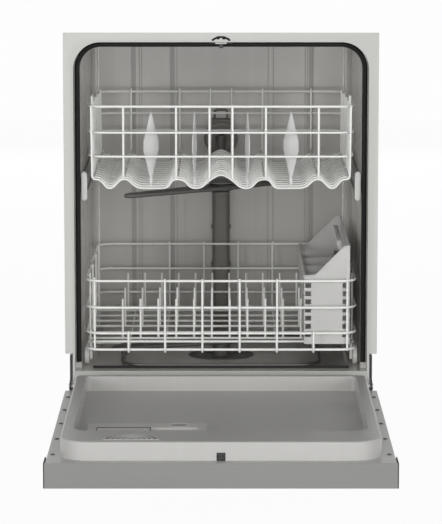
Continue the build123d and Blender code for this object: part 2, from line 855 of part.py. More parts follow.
save("door_panel", make_door_panel())
save("door_liner", make_liner())
save("console", make_console())
save("handle_pocket", make_pocket())
save("control_board", make_board())
save("dispenser", make_dispenser())
save("detergent_lid", make_lid())
save("rinse_cap", make_rinse_cap())
save("vent_grille", make_vent())
save("door_latch", make_latch())
save("door_screws", *[make_screw(s, r) for s in (-1, 1) for r in screw_stations])
for i, x in enumerate(button_xs):
    save(f"button_{i + 1}", make_button(x))
for side, name in ((-1, "left"), (1, "right")):
    save(f"hinge_arm_{name}", make_hinge_arm(side))
save("console_ends", make_end_cap(-1), make_end_cap(1))


# Racks: coated wires, each a solid of its own, touching where they are welded
def rim(half, y0, y1, z_front, z_back, radius, corner):
    slope = (z_back - z_front) / (y1 - y0)
    turn = corner + bend_lead

    def level(y):
        return z_front + slope * (y - y0)

    wires = []
    for y, z in ((y0, z_front), (y1, z_back)):
        wires.append(strand((-half + turn, y, z), (half - turn, y, z), radius))
    for s in (-1, 1):
        start, end = y0 + turn, y1 - turn
        wires.append(strand((s * half, start, level(start)), (s * half, end, level(end)), radius))
        for y, way, z in ((y0, -1, level(start)), (y1, 1, level(end))):
            wires.append(bend(s, way, half, y, z, corner, radius))
    return wires


# A bend starts and ends with a short straight lead, so that it meets the straight wires square
def bend(side, way, half, y, z, corner, radius):
    points = corner_points(side * half, y, corner, math.degrees(math.atan2(way, side)) - 45)
    leads = [(side * (half - corner - bend_lead), y), (side * half, y - way * (corner + bend_lead))]
    if abs(points[0][0]) > abs(points[-1][0]):
        leads.reverse()
    path = Polyline(*[(px, py, z) for px, py in [leads[0], *points, leads[1]]])
    return sweep(wire_section(path @ 0, path % 0, radius), path=path, transition=Transition.RIGHT)


def make_lower_frame():
    y0, y1 = rack_front, rack_front + lower_depth
    inside = wire + thin_wire + weld_gap
    wires = []
    for z in (lower_rim, lower_low, lower_mid, lower_top):
        wires += rim(lower_half, y0, y1, z, z, wire, rack_corner)
    floor_top = lower_rim + wire + weld_gap
    for x in front_post_x + short_post_x:
        ends = [(x, y, lower_rim) for y in (y0 + wire + weld_gap, y1 - wire - weld_gap)]
        wires.append(strand(*ends, wire))
    for x in front_post_x:
        wires.append(post(x, y0 + inside, floor_top, lower_top + post_proud, thin_wire))
        wires.append(post(x, y1 - inside, floor_top, lower_top + post_proud, thin_wire))
    for x in short_post_x:
        wires.append(post(x, y0 + inside, floor_top, lower_low + post_proud, thin_wire))
    cross_z = lower_rim + 2 * wire + weld_gap
    reach = lower_half
    for d in cross_stations:
        wires.append(strand((-reach, y0 + d, cross_z), (reach, y0 + d, cross_z), wire))
    for s in (-1, 1):
        x = s * (lower_half - inside)
        for d in side_stations:
            wires.append(post(x, y0 + d, cross_z - wire, lower_top + post_proud, thin_wire))
    foot = cross_z + wire + weld_gap
    for d in tine_rows:
        for i in range(tine_count):
            wires.append(post(tine_first + tine_pitch * i, y0 + d, foot, tine_top, thin_wire))
    for s in (-1, 1):
        for d in wheel_stations:
            wires.append(make_wheel_carrier(s, y0 + d))
    return wires


def make_wheel_carrier(side, y):
    axle_z = track_z + wheel_radius + seat_gap
    inner = wheel_x[0] - 6
    plate = block(inner, wheel_x[0] - 1, y - 9, y + 9, axle_z - 8, lower_rim - wire - seat_gap)
    hook = block(inner, wheel_x[0] - 1, y - 9, y + 9, axle_z, lower_rim + wire)
    axle = rod((wheel_x[0] - 1, y, axle_z), (wheel_x[1] + 0.8, y, axle_z), axle_radius)
    carrier = plate + hook + axle
    return carrier if side > 0 else mirrored(carrier)


def make_wheel(side, y):
    axle_z = track_z + wheel_radius + seat_gap
    tyre = rod((wheel_x[0], y, axle_z), (wheel_x[1], y, axle_z), wheel_radius)
    tyre -= rod((wheel_x[0] - 1, y, axle_z), (wheel_x[1] + 1, y, axle_z), axle_radius + axle_gap)
    for i in range(3):
        hole = Pos(0, y, axle_z) * Rot(120 * i, 0, 0) * Pos(0, 10, 0)
        tyre -= hole * Pos((wheel_x[0] + wheel_x[1]) / 2, 0, 0) * Cylinder(2.6, 20, rotation=(0, 90, 0))
    return tyre if side > 0 else mirrored(tyre)


def make_basket():
    (x0, x1), (y0, y1) = basket_x, basket_y
    low, shoulder, high = basket_z
    wall = basket_wall

    def profile(inset, extra):
        points = [
            (x0 + inset, low + inset), (x1 - inset, low + inset), (x1 - inset, high + extra),
            (x1 - 10, high + extra), (x0 + basket_shoulder, shoulder + extra),
            (x0 + inset, shoulder + extra)]
        return Plane.XZ * make_face(Polyline(*points, close=True))

    basket = Pos(0, y0, 0) * extrude(profile(0, 0), y0 - y1)
    basket -= Pos(0, y0 + wall, 0) * extrude(profile(wall, 60), y0 - y1 + 2 * wall)
    cell = (y1 - y0) / basket_cells
    for i in range(1, basket_cells):
        y = y0 + i * cell
        basket += block(x0 + 1, x1 - 1, y - wall / 2, y + wall / 2, low + 1, shoulder - divider_drop)
    wide, tall = basket_slot
    for i in range(basket_cells):
        y = y0 + (i + 0.5) * cell
        for j in range(basket_slots):
            z = low + basket_slot_rise + basket_slot_pitch * j
            basket -= block(x0 - 1, x1 + 1, y - wide / 2, y + wide / 2, z, z + tall)
    return basket


save("lower_rack_frame", *make_lower_frame())
save("silverware_basket", make_basket())
for side, name in ((-1, "left"), (1, "right")):
    for d, place in zip(wheel_stations, ("front", "rear")):
        save(f"rack_wheel_{place}_{name}", make_wheel(side, rack_front + d))


# Upper rack: rim wires, wavy floor wires, clips, wheels, rails and its own spray feed
def wave_points():
    half = []
    for (c0, c1), (t0, t1) in zip(wave_crests, wave_troughs):
        half += [(-c1, upper_crest), (-c0, upper_crest), (-t1, upper_trough), (-t0, upper_trough)]
    half += [(-wave_inner_crest, upper_crest), (0, upper_centre_crest)]
    return half + [(-x, z) for x, z in reversed(half[:-1])]


def make_waves():
    path = Polyline(*[(x, 0, z) for x, z in wave_points()])
    section = wire_section(path @ 0, path % 0, thin_wire)
    wave = sweep(section, path=path, transition=Transition.RIGHT)
    return [Pos(0, wave_first + wave_pitch * i, 0) * wave for i in range(wave_count)]


def make_upper_frame():
    y0, y1 = rack_front, rack_front + upper_depth
    inside = wire + thin_wire + weld_gap
    wires = rim(upper_half, y0, y1, upper_top, upper_back_top, wire, rack_corner)
    wires += rim(upper_half, y0, y1, upper_mid, upper_mid - 10, thin_wire, rack_corner)
    wires += rim(upper_half, y0, y1, upper_low, upper_low, thin_wire, rack_corner)
    tie_z = upper_crest + 2 * thin_wire + weld_gap
    tie_top = tie_z + thin_wire + weld_gap
    last = y1 - inside
    for x in tie_x:
        for s in (-1, 1):
            start = (s * x, wave_first - thin_wire, tie_z)
            wires.append(strand(start, (s * x, last, tie_z), thin_wire))
    for x in upper_post_x:
        wires.append(post(x, y0 + inside, tie_top, upper_top + upper_proud, thin_wire))
        wires.append(post(x, last, tie_top, upper_back_top + upper_proud, thin_wire))
    for s in (-1, 1):
        for y in upper_side_y + upper_wheel_y:
            top = upper_top + (upper_back_top - upper_top) * (y - y0) / upper_depth
            wires.append(post(s * (upper_half - inside), y, tie_z - 10, top + upper_proud, thin_wire))
        for y in upper_wheel_y:
            wires.append(make_upper_carrier(s, y))
    for x, _ in clip_tines:
        wires.append(post(x, clip_tine_y, upper_trough - thin_wire, clip_bottom, thin_wire))
    return wires


def make_upper_carrier(side, y):
    x0, x1 = upper_half - 2.5, upper_half + 1.5
    plate = block(x0, x1, y - 14, y + 14, rail_z - 13, upper_low - 8)
    axle = rod((x1, y, rail_z), (rail_web[0] - roller_gap, y, rail_z), axle_radius)
    return plate + axle if side > 0 else mirrored(plate + axle)


def make_upper_wheel(side, y):
    x0, x1 = rail_x[0] + 0.4, rail_web[0] - roller_gap
    tyre = rod((x0, y, rail_z), (x1, y, rail_z), roller_radius)
    tyre -= rod((x0 - 1, y, rail_z), (x1 + 1, y, rail_z), axle_radius + axle_gap)
    return tyre if side > 0 else mirrored(tyre)


def make_tub_roller(side, y):
    x0 = rail_web[1] + roller_gap
    roller = rod((x0, y, rail_z), (rail_x[1] - roller_gap, y, rail_z), roller_radius)
    stud = rod((rail_x[1] - roller_gap, y, rail_z), (cavity_half - 0.1, y, rail_z), axle_radius + 2)
    return roller + stud if side > 0 else mirrored(roller + stud)


def make_rail(side):
    x0, x1 = rail_x
    y0, y1 = rail_y
    rail = block(*rail_web, y0, y1, rail_z - rail_half_height, rail_z + rail_half_height)
    for s in (-1, 1):
        edge = rail_z + s * rail_half_height
        rail += block(x0, x1, y0, y1, edge - s * rail_sheet, edge)
    return rail if side > 0 else mirrored(rail)


def make_stop(side):
    x0, x1 = rail_x[0], rail_x[1] + 0.5
    y1 = rail_y[0]
    half = stop_height / 2
    stop = block(x0, x1, y1 - stop_thick, y1, rail_z - half, rail_z + half)
    stop = fillet(stop.edges().filter_by(Axis.Y), (x1 - x0) / 2 - 0.2)
    return stop if side > 0 else mirrored(stop)


def make_clip(x, yaw):
    low, high = (clip_height * share for share in clip_widest)
    right = [(clip_foot, 0), (clip_half, low), (clip_half, high), (clip_tip, clip_height)]
    outline = Polyline(*right, *[(-px, pz) for px, pz in reversed(right)], close=True)
    plate = extrude(Plane.XZ * make_face(outline), clip_thick / 2, both=True)
    return Pos(x, clip_tine_y, clip_bottom) * Rot(0, 0, yaw) * plate


def make_rack_feed():
    nozzle_end = cavity_back - feed_depth - dock_thick - seat_gap
    tube = rod((0, upper_hub_y, rack_tube_z), (0, riser_y, rack_tube_z), rack_tube_radius)
    tube += Pos(0, upper_hub_y, rack_tube_z) * Sphere(rack_tube_radius)
    tube += upright(0, riser_y, rack_tube_z, dock_z + riser_radius, riser_radius)
    tube += rod((0, riser_y, dock_z), (0, nozzle_end, dock_z), riser_radius - 1)
    arm_top = upper_arm_z + arm_thick
    tube += upright(0, upper_hub_y, arm_top + 1, rack_tube_z, hub_radius)
    tube += upright(0, upper_hub_y, upper_arm_z - 2, arm_top + 1, spindle_radius)
    hanger_top = upper_centre_crest - 2 * thin_wire - 3 * seat_gap
    for i in hanger_waves:
        y = wave_first + wave_pitch * i
        tube += block(-4, 4, y - 6, y + 6, rack_tube_z, hanger_top)
    return tube


save("upper_rack_frame", *make_upper_frame())
save("upper_rack_floor", *make_waves())
save("item_clips", *[make_clip(x, yaw) for x, yaw in clip_tines])
save("upper_rack_wheels", *[make_upper_wheel(s, y) for s in (-1, 1) for y in upper_wheel_y])
save("tub_rollers", *[make_tub_roller(s, y) for s in (-1, 1) for y in tub_roller_y])
save("rail_left", make_rail(-1))
save("rail_right", make_rail(1))
save("rail_stops", make_stop(-1), make_stop(1))
save("rack_feed", make_rack_feed())
save("upper_spray_arm", make_arm(upper_arm_z, upper_hub_y, 37))
save("upper_arm_cap", make_arm_cap(upper_arm_z - 2 - cap_height / 2, upper_hub_y))
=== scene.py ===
import bmesh
import bpy
import json
import math
from mathutils import Matrix, Vector

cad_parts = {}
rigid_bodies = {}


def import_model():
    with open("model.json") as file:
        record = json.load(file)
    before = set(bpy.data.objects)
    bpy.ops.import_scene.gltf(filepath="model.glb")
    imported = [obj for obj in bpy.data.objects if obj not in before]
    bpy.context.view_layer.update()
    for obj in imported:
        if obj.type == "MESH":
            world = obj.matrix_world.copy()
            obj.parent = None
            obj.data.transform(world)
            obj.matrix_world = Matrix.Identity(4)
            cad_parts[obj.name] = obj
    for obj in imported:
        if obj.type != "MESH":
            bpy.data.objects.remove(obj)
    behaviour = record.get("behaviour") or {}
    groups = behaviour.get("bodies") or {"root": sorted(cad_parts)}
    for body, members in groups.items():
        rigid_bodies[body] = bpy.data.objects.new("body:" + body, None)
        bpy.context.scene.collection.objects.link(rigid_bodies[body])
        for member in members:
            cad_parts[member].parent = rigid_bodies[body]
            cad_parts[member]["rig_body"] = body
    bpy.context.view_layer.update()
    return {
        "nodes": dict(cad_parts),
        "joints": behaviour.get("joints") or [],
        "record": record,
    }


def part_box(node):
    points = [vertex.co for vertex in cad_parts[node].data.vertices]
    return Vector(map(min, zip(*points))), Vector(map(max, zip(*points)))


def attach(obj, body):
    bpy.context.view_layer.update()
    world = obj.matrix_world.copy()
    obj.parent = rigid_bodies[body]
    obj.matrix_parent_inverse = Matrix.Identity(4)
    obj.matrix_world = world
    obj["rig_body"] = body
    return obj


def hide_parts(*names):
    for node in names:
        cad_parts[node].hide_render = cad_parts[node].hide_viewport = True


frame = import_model()
nodes = frame["nodes"]
mm = 0.001
right, ahead, up = Vector((1, 0, 0)), Vector((0, 1, 0)), Vector((0, 0, 1))
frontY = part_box("tub")[0].y                      # the plane of the tub's front flange
hingeZ = next(joint["pos_m"][2] for joint in frame["joints"] if joint["name"] == "door_swing")
print("frame loaded,", len(nodes), "nodes")


# settings of a piece: a dictionary whose values are also read as look.name
class Look(dict):
    __getattr__ = dict.__getitem__


def take(look, names):
    return [look[name] for name in names.split()]


def about(middle, half):
    return middle - half, middle + half


def turns(count, shift=0.0):
    return [2 * math.pi * (k + shift) / count for k in range(count)]


def outwards(angle):
    return Vector((math.cos(angle), math.sin(angle), 0))


# points in mm: from the middle of the tub's front, or along (r) and above (h) the open door
def place(x, y, z):
    return Vector((x * mm, frontY + y * mm, z * mm))


def onDoor(x, r, h):
    return Vector((x * mm, frontY - r * mm, hingeZ + h * mm))


# mesh work shared by all pieces: angles in degrees, weld in metres
meshLook = Look(
    weld=1e-5, flat=0.5, bevelFrom=25, sharpFrom=50, bendShare=0.45, upright=0.9, tipTurns=(0, 0.55, 1.05, 1.57),
    tipLeast=0.04)


def newPiece(name, bm, body, finish, stands=(), angle=meshLook.sharpFrom):
    bmesh.ops.recalc_face_normals(bm, faces=bm.faces)
    mesh = bpy.data.meshes.new(name)
    bm.to_mesh(mesh)
    bm.free()
    mesh.polygons.foreach_set("use_smooth", [True] * len(mesh.polygons))
    mesh.set_sharp_from_angle(angle=math.radians(angle))
    mesh.materials.append(paint[finish])
    piece = bpy.data.objects.new(name, mesh)
    bpy.context.scene.collection.objects.link(piece)
    piece.modifiers.new("flatFaces", "WEIGHTED_NORMAL").keep_sharp = True   # wide flat faces stay flat
    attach(piece, body)
    if stands:
        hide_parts(*stands)
    return piece


def slotOf(node):
    return next(part["material_slot"] for part in frame["record"]["subparts"] if part["node"] == node)


# makes at once the piece that the function under it shapes: on a node's body, and in its place if it stands for it
def shape(name, node, finish, stands=False, soft=(), angle=meshLook.sharpFrom):
    def run(shaped):
        bm = bmesh.new()
        shaped(bm)
        if soft:
            softenEdges(bm, *soft)
        newPiece(name, bm, nodes[node]["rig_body"], finish, (node,) if stands else (), angle)
    return run


# edges that turn sharply get a small round, as a moulded or folded edge has
def softenEdges(bm, width, segments=2):
    least = math.radians(meshLook.bevelFrom)
    sharp = [e for e in bm.edges if len(e.link_faces) == 2 and e.calc_face_angle(0) > least]
    bmesh.ops.bevel(bm, geom=sharp, offset=width * mm, segments=segments, profile=0.5,
                    affect="EDGES", clamp_overlap=True)


def joinFlat(bm):
    bmesh.ops.dissolve_limit(bm, angle_limit=math.radians(meshLook.flat), verts=bm.verts, edges=bm.edges)
    return bm


def meshOf(node):
    bm = bmesh.new()
    bm.from_mesh(nodes[node].data)
    bmesh.ops.remove_doubles(bm, verts=bm.verts, dist=meshLook.weld)
    return joinFlat(bm)


# a node's own form with its edges softened
def softNode(node, finish, width, segments=2, name=None):
    bm = meshOf(node)
    softenEdges(bm, width, segments)
    return newPiece(name or node + "_soft", bm, nodes[node]["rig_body"], finish, (node,))


# a copy of a node's mesh with the cutters taken out of it
def cutFrom(node, cutters):
    holders = []
    for name, bm in (("cut_body", meshOf(node)), ("cut_tool", cutters)):
        mesh = bpy.data.meshes.new(name)
        bm.to_mesh(mesh)
        bm.free()
        holders.append(bpy.data.objects.new(name, mesh))
        bpy.context.scene.collection.objects.link(holders[-1])
    body, tool = holders
    cut = body.modifiers.new("cut", "BOOLEAN")
    cut.object, cut.operation, cut.solver = tool, "DIFFERENCE", "EXACT"
    done = bpy.data.meshes.new_from_object(body.evaluated_get(bpy.context.evaluated_depsgraph_get()))
    for holder in holders:
        bpy.data.objects.remove(holder)
    bm = bmesh.new()
    bm.from_mesh(done)
    bpy.data.meshes.remove(done)
    return joinFlat(bm)


# a block between two corners, each span in mm and low end first (r runs the other way)
def addBox(bm, xs, ys, zs, at=place):
    low, high = (at(*corner) for corner in zip(xs, ys, zs))
    made = bmesh.ops.create_cube(bm, size=1.0)["verts"]
    bmesh.ops.scale(bm, vec=high - low, verts=made)
    bmesh.ops.translate(bm, vec=(low + high) / 2, verts=made)


def addRings(bm, rings, closed=False):
    made = [[bm.verts.new(p) for p in ring] for ring in rings]
    count = len(made[0])
    pairs = list(zip(made, made[1:]))
    if closed:
        pairs.append((made[-1], made[0]))
    for a, b in pairs:
        for i in range(count):
            j = (i + 1) % count
            bm.faces.new((a[i], a[j], b[j], b[i]))
    if not closed:
        bm.faces.new(list(reversed(made[0])))
        bm.faces.new(made[-1])


def circlePoints(radius, sides):
    return [(radius * math.cos(t), radius * math.sin(t)) for t in turns(sides, 0.5)]


def ovalPoints(wide, high, sides):
    return [(u * wide * mm, v * high * mm) for u, v in circlePoints(1.0, sides)]


# a section carried along a line of points without twisting; scales shrink it towards a rounded tip
def addSweep(bm, points, section, closed=False, scales=None, side=None):
    tangents = []
    last = len(points) - 1
    for i in range(len(points)):
        before = points[i - 1] if (closed or i > 0) else points[i]
        after = points[(i + 1) % len(points)] if (closed or i < last) else points[i]
        tangents.append((after - before).normalized())
    across = side or (up if abs(tangents[0].z) < meshLook.upright else right)
    rings = []
    for i, (point, tangent) in enumerate(zip(points, tangents)):
        across = (across - tangent * across.dot(tangent)).normalized()
        other = tangent.cross(across)
        size = scales[i] if scales else 1.0
        rings.append([point + (across * u + other * v) * size for u, v in section])
    addRings(bm, rings, closed)


# a wire with its two ends rounded, or cut square
def addWire(bm, points, radius, sides=10, roundTips=True):
    line, scales = list(points), [1.0] * len(points)
    if roundTips:
        steps = [(math.sin(a), max(math.cos(a), meshLook.tipLeast)) for a in meshLook.tipTurns]
        tips = []
        for tip, beside in ((line[0], line[1]), (line[-1], line[-2])):
            out = (tip - beside).normalized()
            tips.append([tip - out * radius * (1 - s) for s, c in steps])
        shrink = [c for s, c in steps]
        line = tips[0][::-1] + line[1:-1] + tips[1]
        scales = shrink[::-1] + scales[1:-1] + shrink
    addSweep(bm, line, circlePoints(radius, sides), scales=scales)


# a line of straight runs whose corners are true arcs
def roundedLine(points, radius, steps=5, closed=False):
    made = []
    count = len(points)
    for i, corner in enumerate(points):
        if not closed and i in (0, count - 1):
            made.append(corner)
            continue
        back, onward = points[i - 1] - corner, points[(i + 1) % count] - corner
        reach = min(radius, meshLook.bendShare * back.length, meshLook.bendShare * onward.length)
        a, b = corner + back.normalized() * reach, corner + onward.normalized() * reach
        pull = 2 * math.sin(back.angle(onward) / 2)
        for k in range(steps + 1):
            t = k / steps
            shares = (1 - t) ** 2, pull * t * (1 - t), t ** 2
            made.append((a * shares[0] + corner * shares[1] + b * shares[2]) / sum(shares))
    return made


# a turned shape: (radius, height) pairs about an axis through centre
def addTurned(bm, profile, centre, axis=up, sides=18):
    across = axis.orthogonal().normalized()
    other = axis.cross(across)
    addRings(bm, [[centre + axis * height * mm + (across * u + other * v)
                   for u, v in circlePoints(radius * mm, sides)] for radius, height in profile])


# a round ring of wire in the plane of two axes
def addLoop(bm, centre, axes, radius, wire, sides=48, wireSides=8):
    ring = [centre + axes[0] * u + axes[1] * v for u, v in circlePoints(radius * mm, sides)]
    addSweep(bm, ring, circlePoints(wire * mm, wireSides), closed=True)


def addPlate(bm, outline, thickness):
    front = [bm.verts.new(p) for p in outline]
    back = [bm.verts.new(p + thickness) for p in outline]
    bm.faces.new(front)
    bm.faces.new(list(reversed(back)))
    for i in range(len(front)):
        j = (i + 1) % len(front)
        bm.faces.new((front[i], front[j], back[j], back[i]))


# shader groups: they put out only masks, tones and heights that change over the surface
def newGroup(name, inputs, outputs):
    group = bpy.data.node_groups.new(name, "ShaderNodeTree")
    for label, value in inputs.items():
        socket = group.interface.new_socket(label, in_out="INPUT", socket_type="NodeSocketFloat")
        socket.default_value = value
    for label in outputs:
        group.interface.new_socket(label, in_out="OUTPUT", socket_type="NodeSocketFloat")
    return group, group.nodes.new("NodeGroupInput"), group.nodes.new("NodeGroupOutput")


def addNode(tree, kind, links=(), values=None, **settings):
    node = tree.nodes.new(kind)
    for key, value in settings.items():
        setattr(node, key, value)
    for key, value in (values or {}).items():
        node.inputs[key].default_value = value
    for source, target in links:
        tree.links.new(source, node.inputs[target])
    return node


def addMath(tree, operation, first, second):
    node = addNode(tree, "ShaderNodeMath", [(first, 0)], operation=operation)
    if isinstance(second, float):
        node.inputs[1].default_value = second
    else:
        tree.links.new(second, node.inputs[1])
    return node.outputs[0]


def addRange(tree, source, values):
    return addNode(tree, "ShaderNodeMapRange", [(source, "Value")], values).outputs[0]


def addNoise(tree, coords, values, links=()):
    return addNode(tree, "ShaderNodeTexNoise", [(coords, "Vector"), *links], values).outputs["Fac"]


def addStretch(tree, coords, scale):
    return addNode(tree, "ShaderNodeMapping", [(coords, "Vector")], {"Scale": scale}).outputs[0]


# moulded plastic: a slow drift of tone and a fine stipple
grainLook = Look(drift={"Detail": 3, "Roughness": 0.55}, stipple={"Detail": 2, "Roughness": 0.6}, finer=90.0)


def mouldedGrain():
    group, start, end = newGroup("mouldedGrain", {"Scale": 1.0}, ("Tone", "Height"))
    coords, scale = addNode(group, "ShaderNodeTexCoord").outputs["Object"], start.outputs["Scale"]
    slow = addNoise(group, coords, grainLook.drift, [(scale, "Scale")])
    fineScale = addMath(group, "MULTIPLY", scale, grainLook.finer)
    fine = addNoise(group, coords, grainLook.stipple, [(fineScale, "Scale")])
    group.links.new(slow, end.inputs["Tone"])
    group.links.new(fine, end.inputs["Height"])
    return group


# brushed sheet: long fine lines across the width of the door
brushLook = Look(stretch=(3, 700, 700), lines={"Detail": 3, "Roughness": 0.7}, drift={"Scale": 4, "Detail": 2})


def brushedLines():
    group, start, end = newGroup("brushedLines", {"Scale": 1.0}, ("Tone", "Height"))
    coords = addNode(group, "ShaderNodeTexCoord").outputs["Object"]
    stretched = addStretch(group, coords, brushLook.stretch)
    lines = addNoise(group, stretched, brushLook.lines, [(start.outputs["Scale"], "Scale")])
    slow = addNoise(group, coords, brushLook.drift)
    tone = addMath(group, "MULTIPLY", addMath(group, "ADD", lines, slow), 0.5)
    group.links.new(tone, end.inputs["Tone"])
    group.links.new(lines, end.inputs["Height"])
    return group


# dried drops and faint runs that wash water leaves on the inside
markLook = Look(
    drops={"From Min": 0.16, "From Max": 0.05}, stretch=(40, 40, 1.6), noise={"Scale": 1, "Detail": 2},
    runs={"From Min": 0.5, "From Max": 0.75})


def waterMarks():
    group, start, end = newGroup("waterMarks", {"Scale": 60.0}, ("Mask",))
    coords = addNode(group, "ShaderNodeTexCoord").outputs["Object"]
    cells = addNode(group, "ShaderNodeTexVoronoi", [(coords, "Vector"), (start.outputs["Scale"], "Scale")])
    drops = addRange(group, cells.outputs["Distance"], markLook.drops)
    noise = addNoise(group, addStretch(group, coords, markLook.stretch), markLook.noise)
    runs = addRange(group, noise, markLook.runs)
    group.links.new(addMath(group, "MAXIMUM", drops, runs), end.inputs["Mask"])
    return group


# handled edges: lighter where the form turns sharply outwards
wearLook = Look(start=0.52, softness=0.06)


def edgeWear():
    group, start, end = newGroup("edgeWear", {"Softness": wearLook.softness}, ("Mask",))
    point = addNode(group, "ShaderNodeNewGeometry").outputs["Pointiness"]
    top = addMath(group, "ADD", start.outputs["Softness"], wearLook.start)
    links = [(point, "Value"), (top, "From Max")]
    ramp = addNode(group, "ShaderNodeMapRange", links, {"From Min": wearLook.start})
    group.links.new(ramp.outputs[0], end.inputs["Mask"])
    return group


groups = {make.__name__: make() for make in (mouldedGrain, brushedLines, waterMarks, edgeWear)}


# finishes: plain values go on the shader, tones and heights come from the groups
finishBase = dict(pattern="mouldedGrain", depth=0.0002, roughSpread=0.05, wear=0.0, marks=0.0, sockets={})
overlays = (("wear", "edgeWear", 1.5, 0.02), ("marks", "waterMarks", 1.25, 0.03))   # setting, mask, times, plus


def shade(colour, times, plus=0.0):
    return [min(c * times + plus, 1) for c in colour] + [1]


def makeFinish(name, given):
    look = {**finishBase, **given}
    material = bpy.data.materials.new(name)
    material.use_nodes = True
    tree = material.node_tree
    shader = tree.nodes["Principled BSDF"]
    for socket, value in look["sockets"].items():
        shader.inputs[socket].default_value = value
    pattern = addNode(tree, "ShaderNodeGroup", (), {"Scale": look["scale"]}, node_tree=groups[look["pattern"]])
    tone, colour = pattern.outputs["Tone"], look["colour"]
    shades = {6: shade(colour, 1 - look["spread"]), 7: shade(colour, 1 + look["spread"])}
    result = addNode(tree, "ShaderNodeMix", [(tone, "Factor")], shades, data_type="RGBA").outputs[2]
    for setting, mask, times, plus in overlays:
        if look[setting]:
            cover = addNode(tree, "ShaderNodeGroup", node_tree=groups[mask]).outputs["Mask"]
            links = [(addMath(tree, "MULTIPLY", cover, look[setting]), "Factor"), (result, 6)]
            light = {7: shade(colour, times, plus)}
            result = addNode(tree, "ShaderNodeMix", links, light, data_type="RGBA").outputs[2]
    tree.links.new(result, shader.inputs["Base Color"])
    rough = {"To Min": look["rough"] - look["roughSpread"], "To Max": look["rough"] + look["roughSpread"]}
    tree.links.new(addRange(tree, tone, rough), shader.inputs["Roughness"])
    bump = addNode(tree, "ShaderNodeBump", [(pattern.outputs["Height"], "Height")],
                   {"Strength": look["bump"], "Distance": look["depth"]})
    tree.links.new(bump.outputs["Normal"], shader.inputs["Normal"])
    return material


# colours are linear; the photograph's greys were read with the light in mind
finishes = {
    "flangeGrey": dict(colour=(0.49, 0.49, 0.47), rough=0.42, scale=5.0, spread=0.05, bump=0.12, wear=0.25),
    "tubGrey": dict(colour=(0.54, 0.528, 0.504), rough=0.24, scale=4.0, spread=0.10, bump=0.10, marks=0.16,
                    sockets={"Specular IOR Level": 0.36, "Coat Weight": 0.22, "Coat Roughness": 0.12}),
    # a darker tub grey: painted shade on the flush strips that fill the back wall's grooves
    "grooveShadeGrey": dict(colour=(0.36, 0.352, 0.336), rough=0.30, scale=4.0, spread=0.10, bump=0.10, marks=0.16),
    "ductGrey": dict(colour=(0.19, 0.178, 0.161), rough=0.52, scale=6.0, spread=0.10, bump=0.15, marks=0.08),
    "linerGrey": dict(colour=(0.49, 0.485, 0.47), rough=0.36, scale=5.0, spread=0.06, bump=0.14,
                      marks=0.10, wear=0.2),
    "lidGrey": dict(colour=(0.60, 0.59, 0.572), rough=0.40, scale=9.0, spread=0.05, bump=0.2, wear=0.3),
    "gasketRubber": dict(colour=(0.008, 0.008, 0.008), rough=0.62, scale=12.0, spread=0.25, bump=0.2,
                         sockets={"Specular IOR Level": 0.22}),
    "blackPlastic": dict(colour=(0.02, 0.02, 0.02), rough=0.45, scale=10.0, spread=0.2, bump=0.25, wear=0.15),
    "armPlastic": dict(colour=(0.088, 0.086, 0.081), rough=0.52, scale=9.0, spread=0.14, bump=0.25,
                       marks=0.10, wear=0.25),
    "whiteVinyl": dict(colour=(0.88, 0.88, 0.855), rough=0.27, scale=14.0, spread=0.03, bump=0.05,
                       sockets={"Coat Weight": 0.25, "Coat Roughness": 0.12}),
    "whitePlastic": dict(colour=(0.64, 0.64, 0.62), rough=0.40, scale=9.0, spread=0.04, bump=0.12, wear=0.2,
                         sockets={"Subsurface Weight": 0.08, "Subsurface Radius": (0.004, 0.004, 0.004)}),
    "basketGrey": dict(colour=(0.56, 0.555, 0.54), rough=0.44, scale=8.0, spread=0.05, bump=0.16, wear=0.2,
                       sockets={"Subsurface Weight": 0.5, "Subsurface Radius": (0.2, 0.2, 0.2)}),
    "clearClip": dict(colour=(0.86, 0.86, 0.85), rough=0.38, scale=18.0, spread=0.04, bump=0.1,
                      sockets={"Subsurface Weight": 0.6, "Subsurface Radius": (0.2, 0.2, 0.2), "IOR": 1.46}),
    "zincSteel": dict(colour=(0.46, 0.46, 0.45), rough=0.38, scale=30.0, spread=0.14, bump=0.08,
                      sockets={"Metallic": 0.9}),
    "brushedSteel": dict(colour=(0.20, 0.20, 0.197), rough=0.42, scale=1.0, spread=0.10, bump=0.16,
                         pattern="brushedLines", depth=0.00008, roughSpread=0.08, sockets={"Metallic": 0.92}),
    "heaterSteel": dict(colour=(0.20, 0.19, 0.18), rough=0.42, scale=40.0, spread=0.25, bump=0.15,
                        sockets={"Metallic": 0.8}),
    "blackPaint": dict(colour=(0.024, 0.024, 0.026), rough=0.38, scale=20.0, spread=0.15, bump=0.12, wear=0.2),
    "screwSteel": dict(colour=(0.10, 0.10, 0.10), rough=0.35, scale=60.0, spread=0.2, bump=0.1,
                       sockets={"Metallic": 0.85}),
    "boardGreen": dict(colour=(0.02, 0.11, 0.05), rough=0.45, scale=50.0, spread=0.2, bump=0.2),
    "buttonGrey": dict(colour=(0.30, 0.30, 0.30), rough=0.36, scale=20.0, spread=0.06, bump=0.15, wear=0.3),
    "motorGrey": dict(colour=(0.16, 0.16, 0.155), rough=0.46, scale=12.0, spread=0.12, bump=0.3),
}
paint = {name: makeFinish(name, look) for name, look in finishes.items()}
print("finishes made:", len(paint))


# tub: the light front face, the darker inside and the round black seal, in mm
tubLook = Look(edge=1.6, insideFrom=34)
sealLook = Look(
    wide=10, thick=4.4, top=842, half=281, radius=52, foot=220, ledge=35, gap=1, bends=12, rounds=14,
    crease=0.86, lipRise=(0.55, 0.5), lipEdge=(0.2, -0.8))


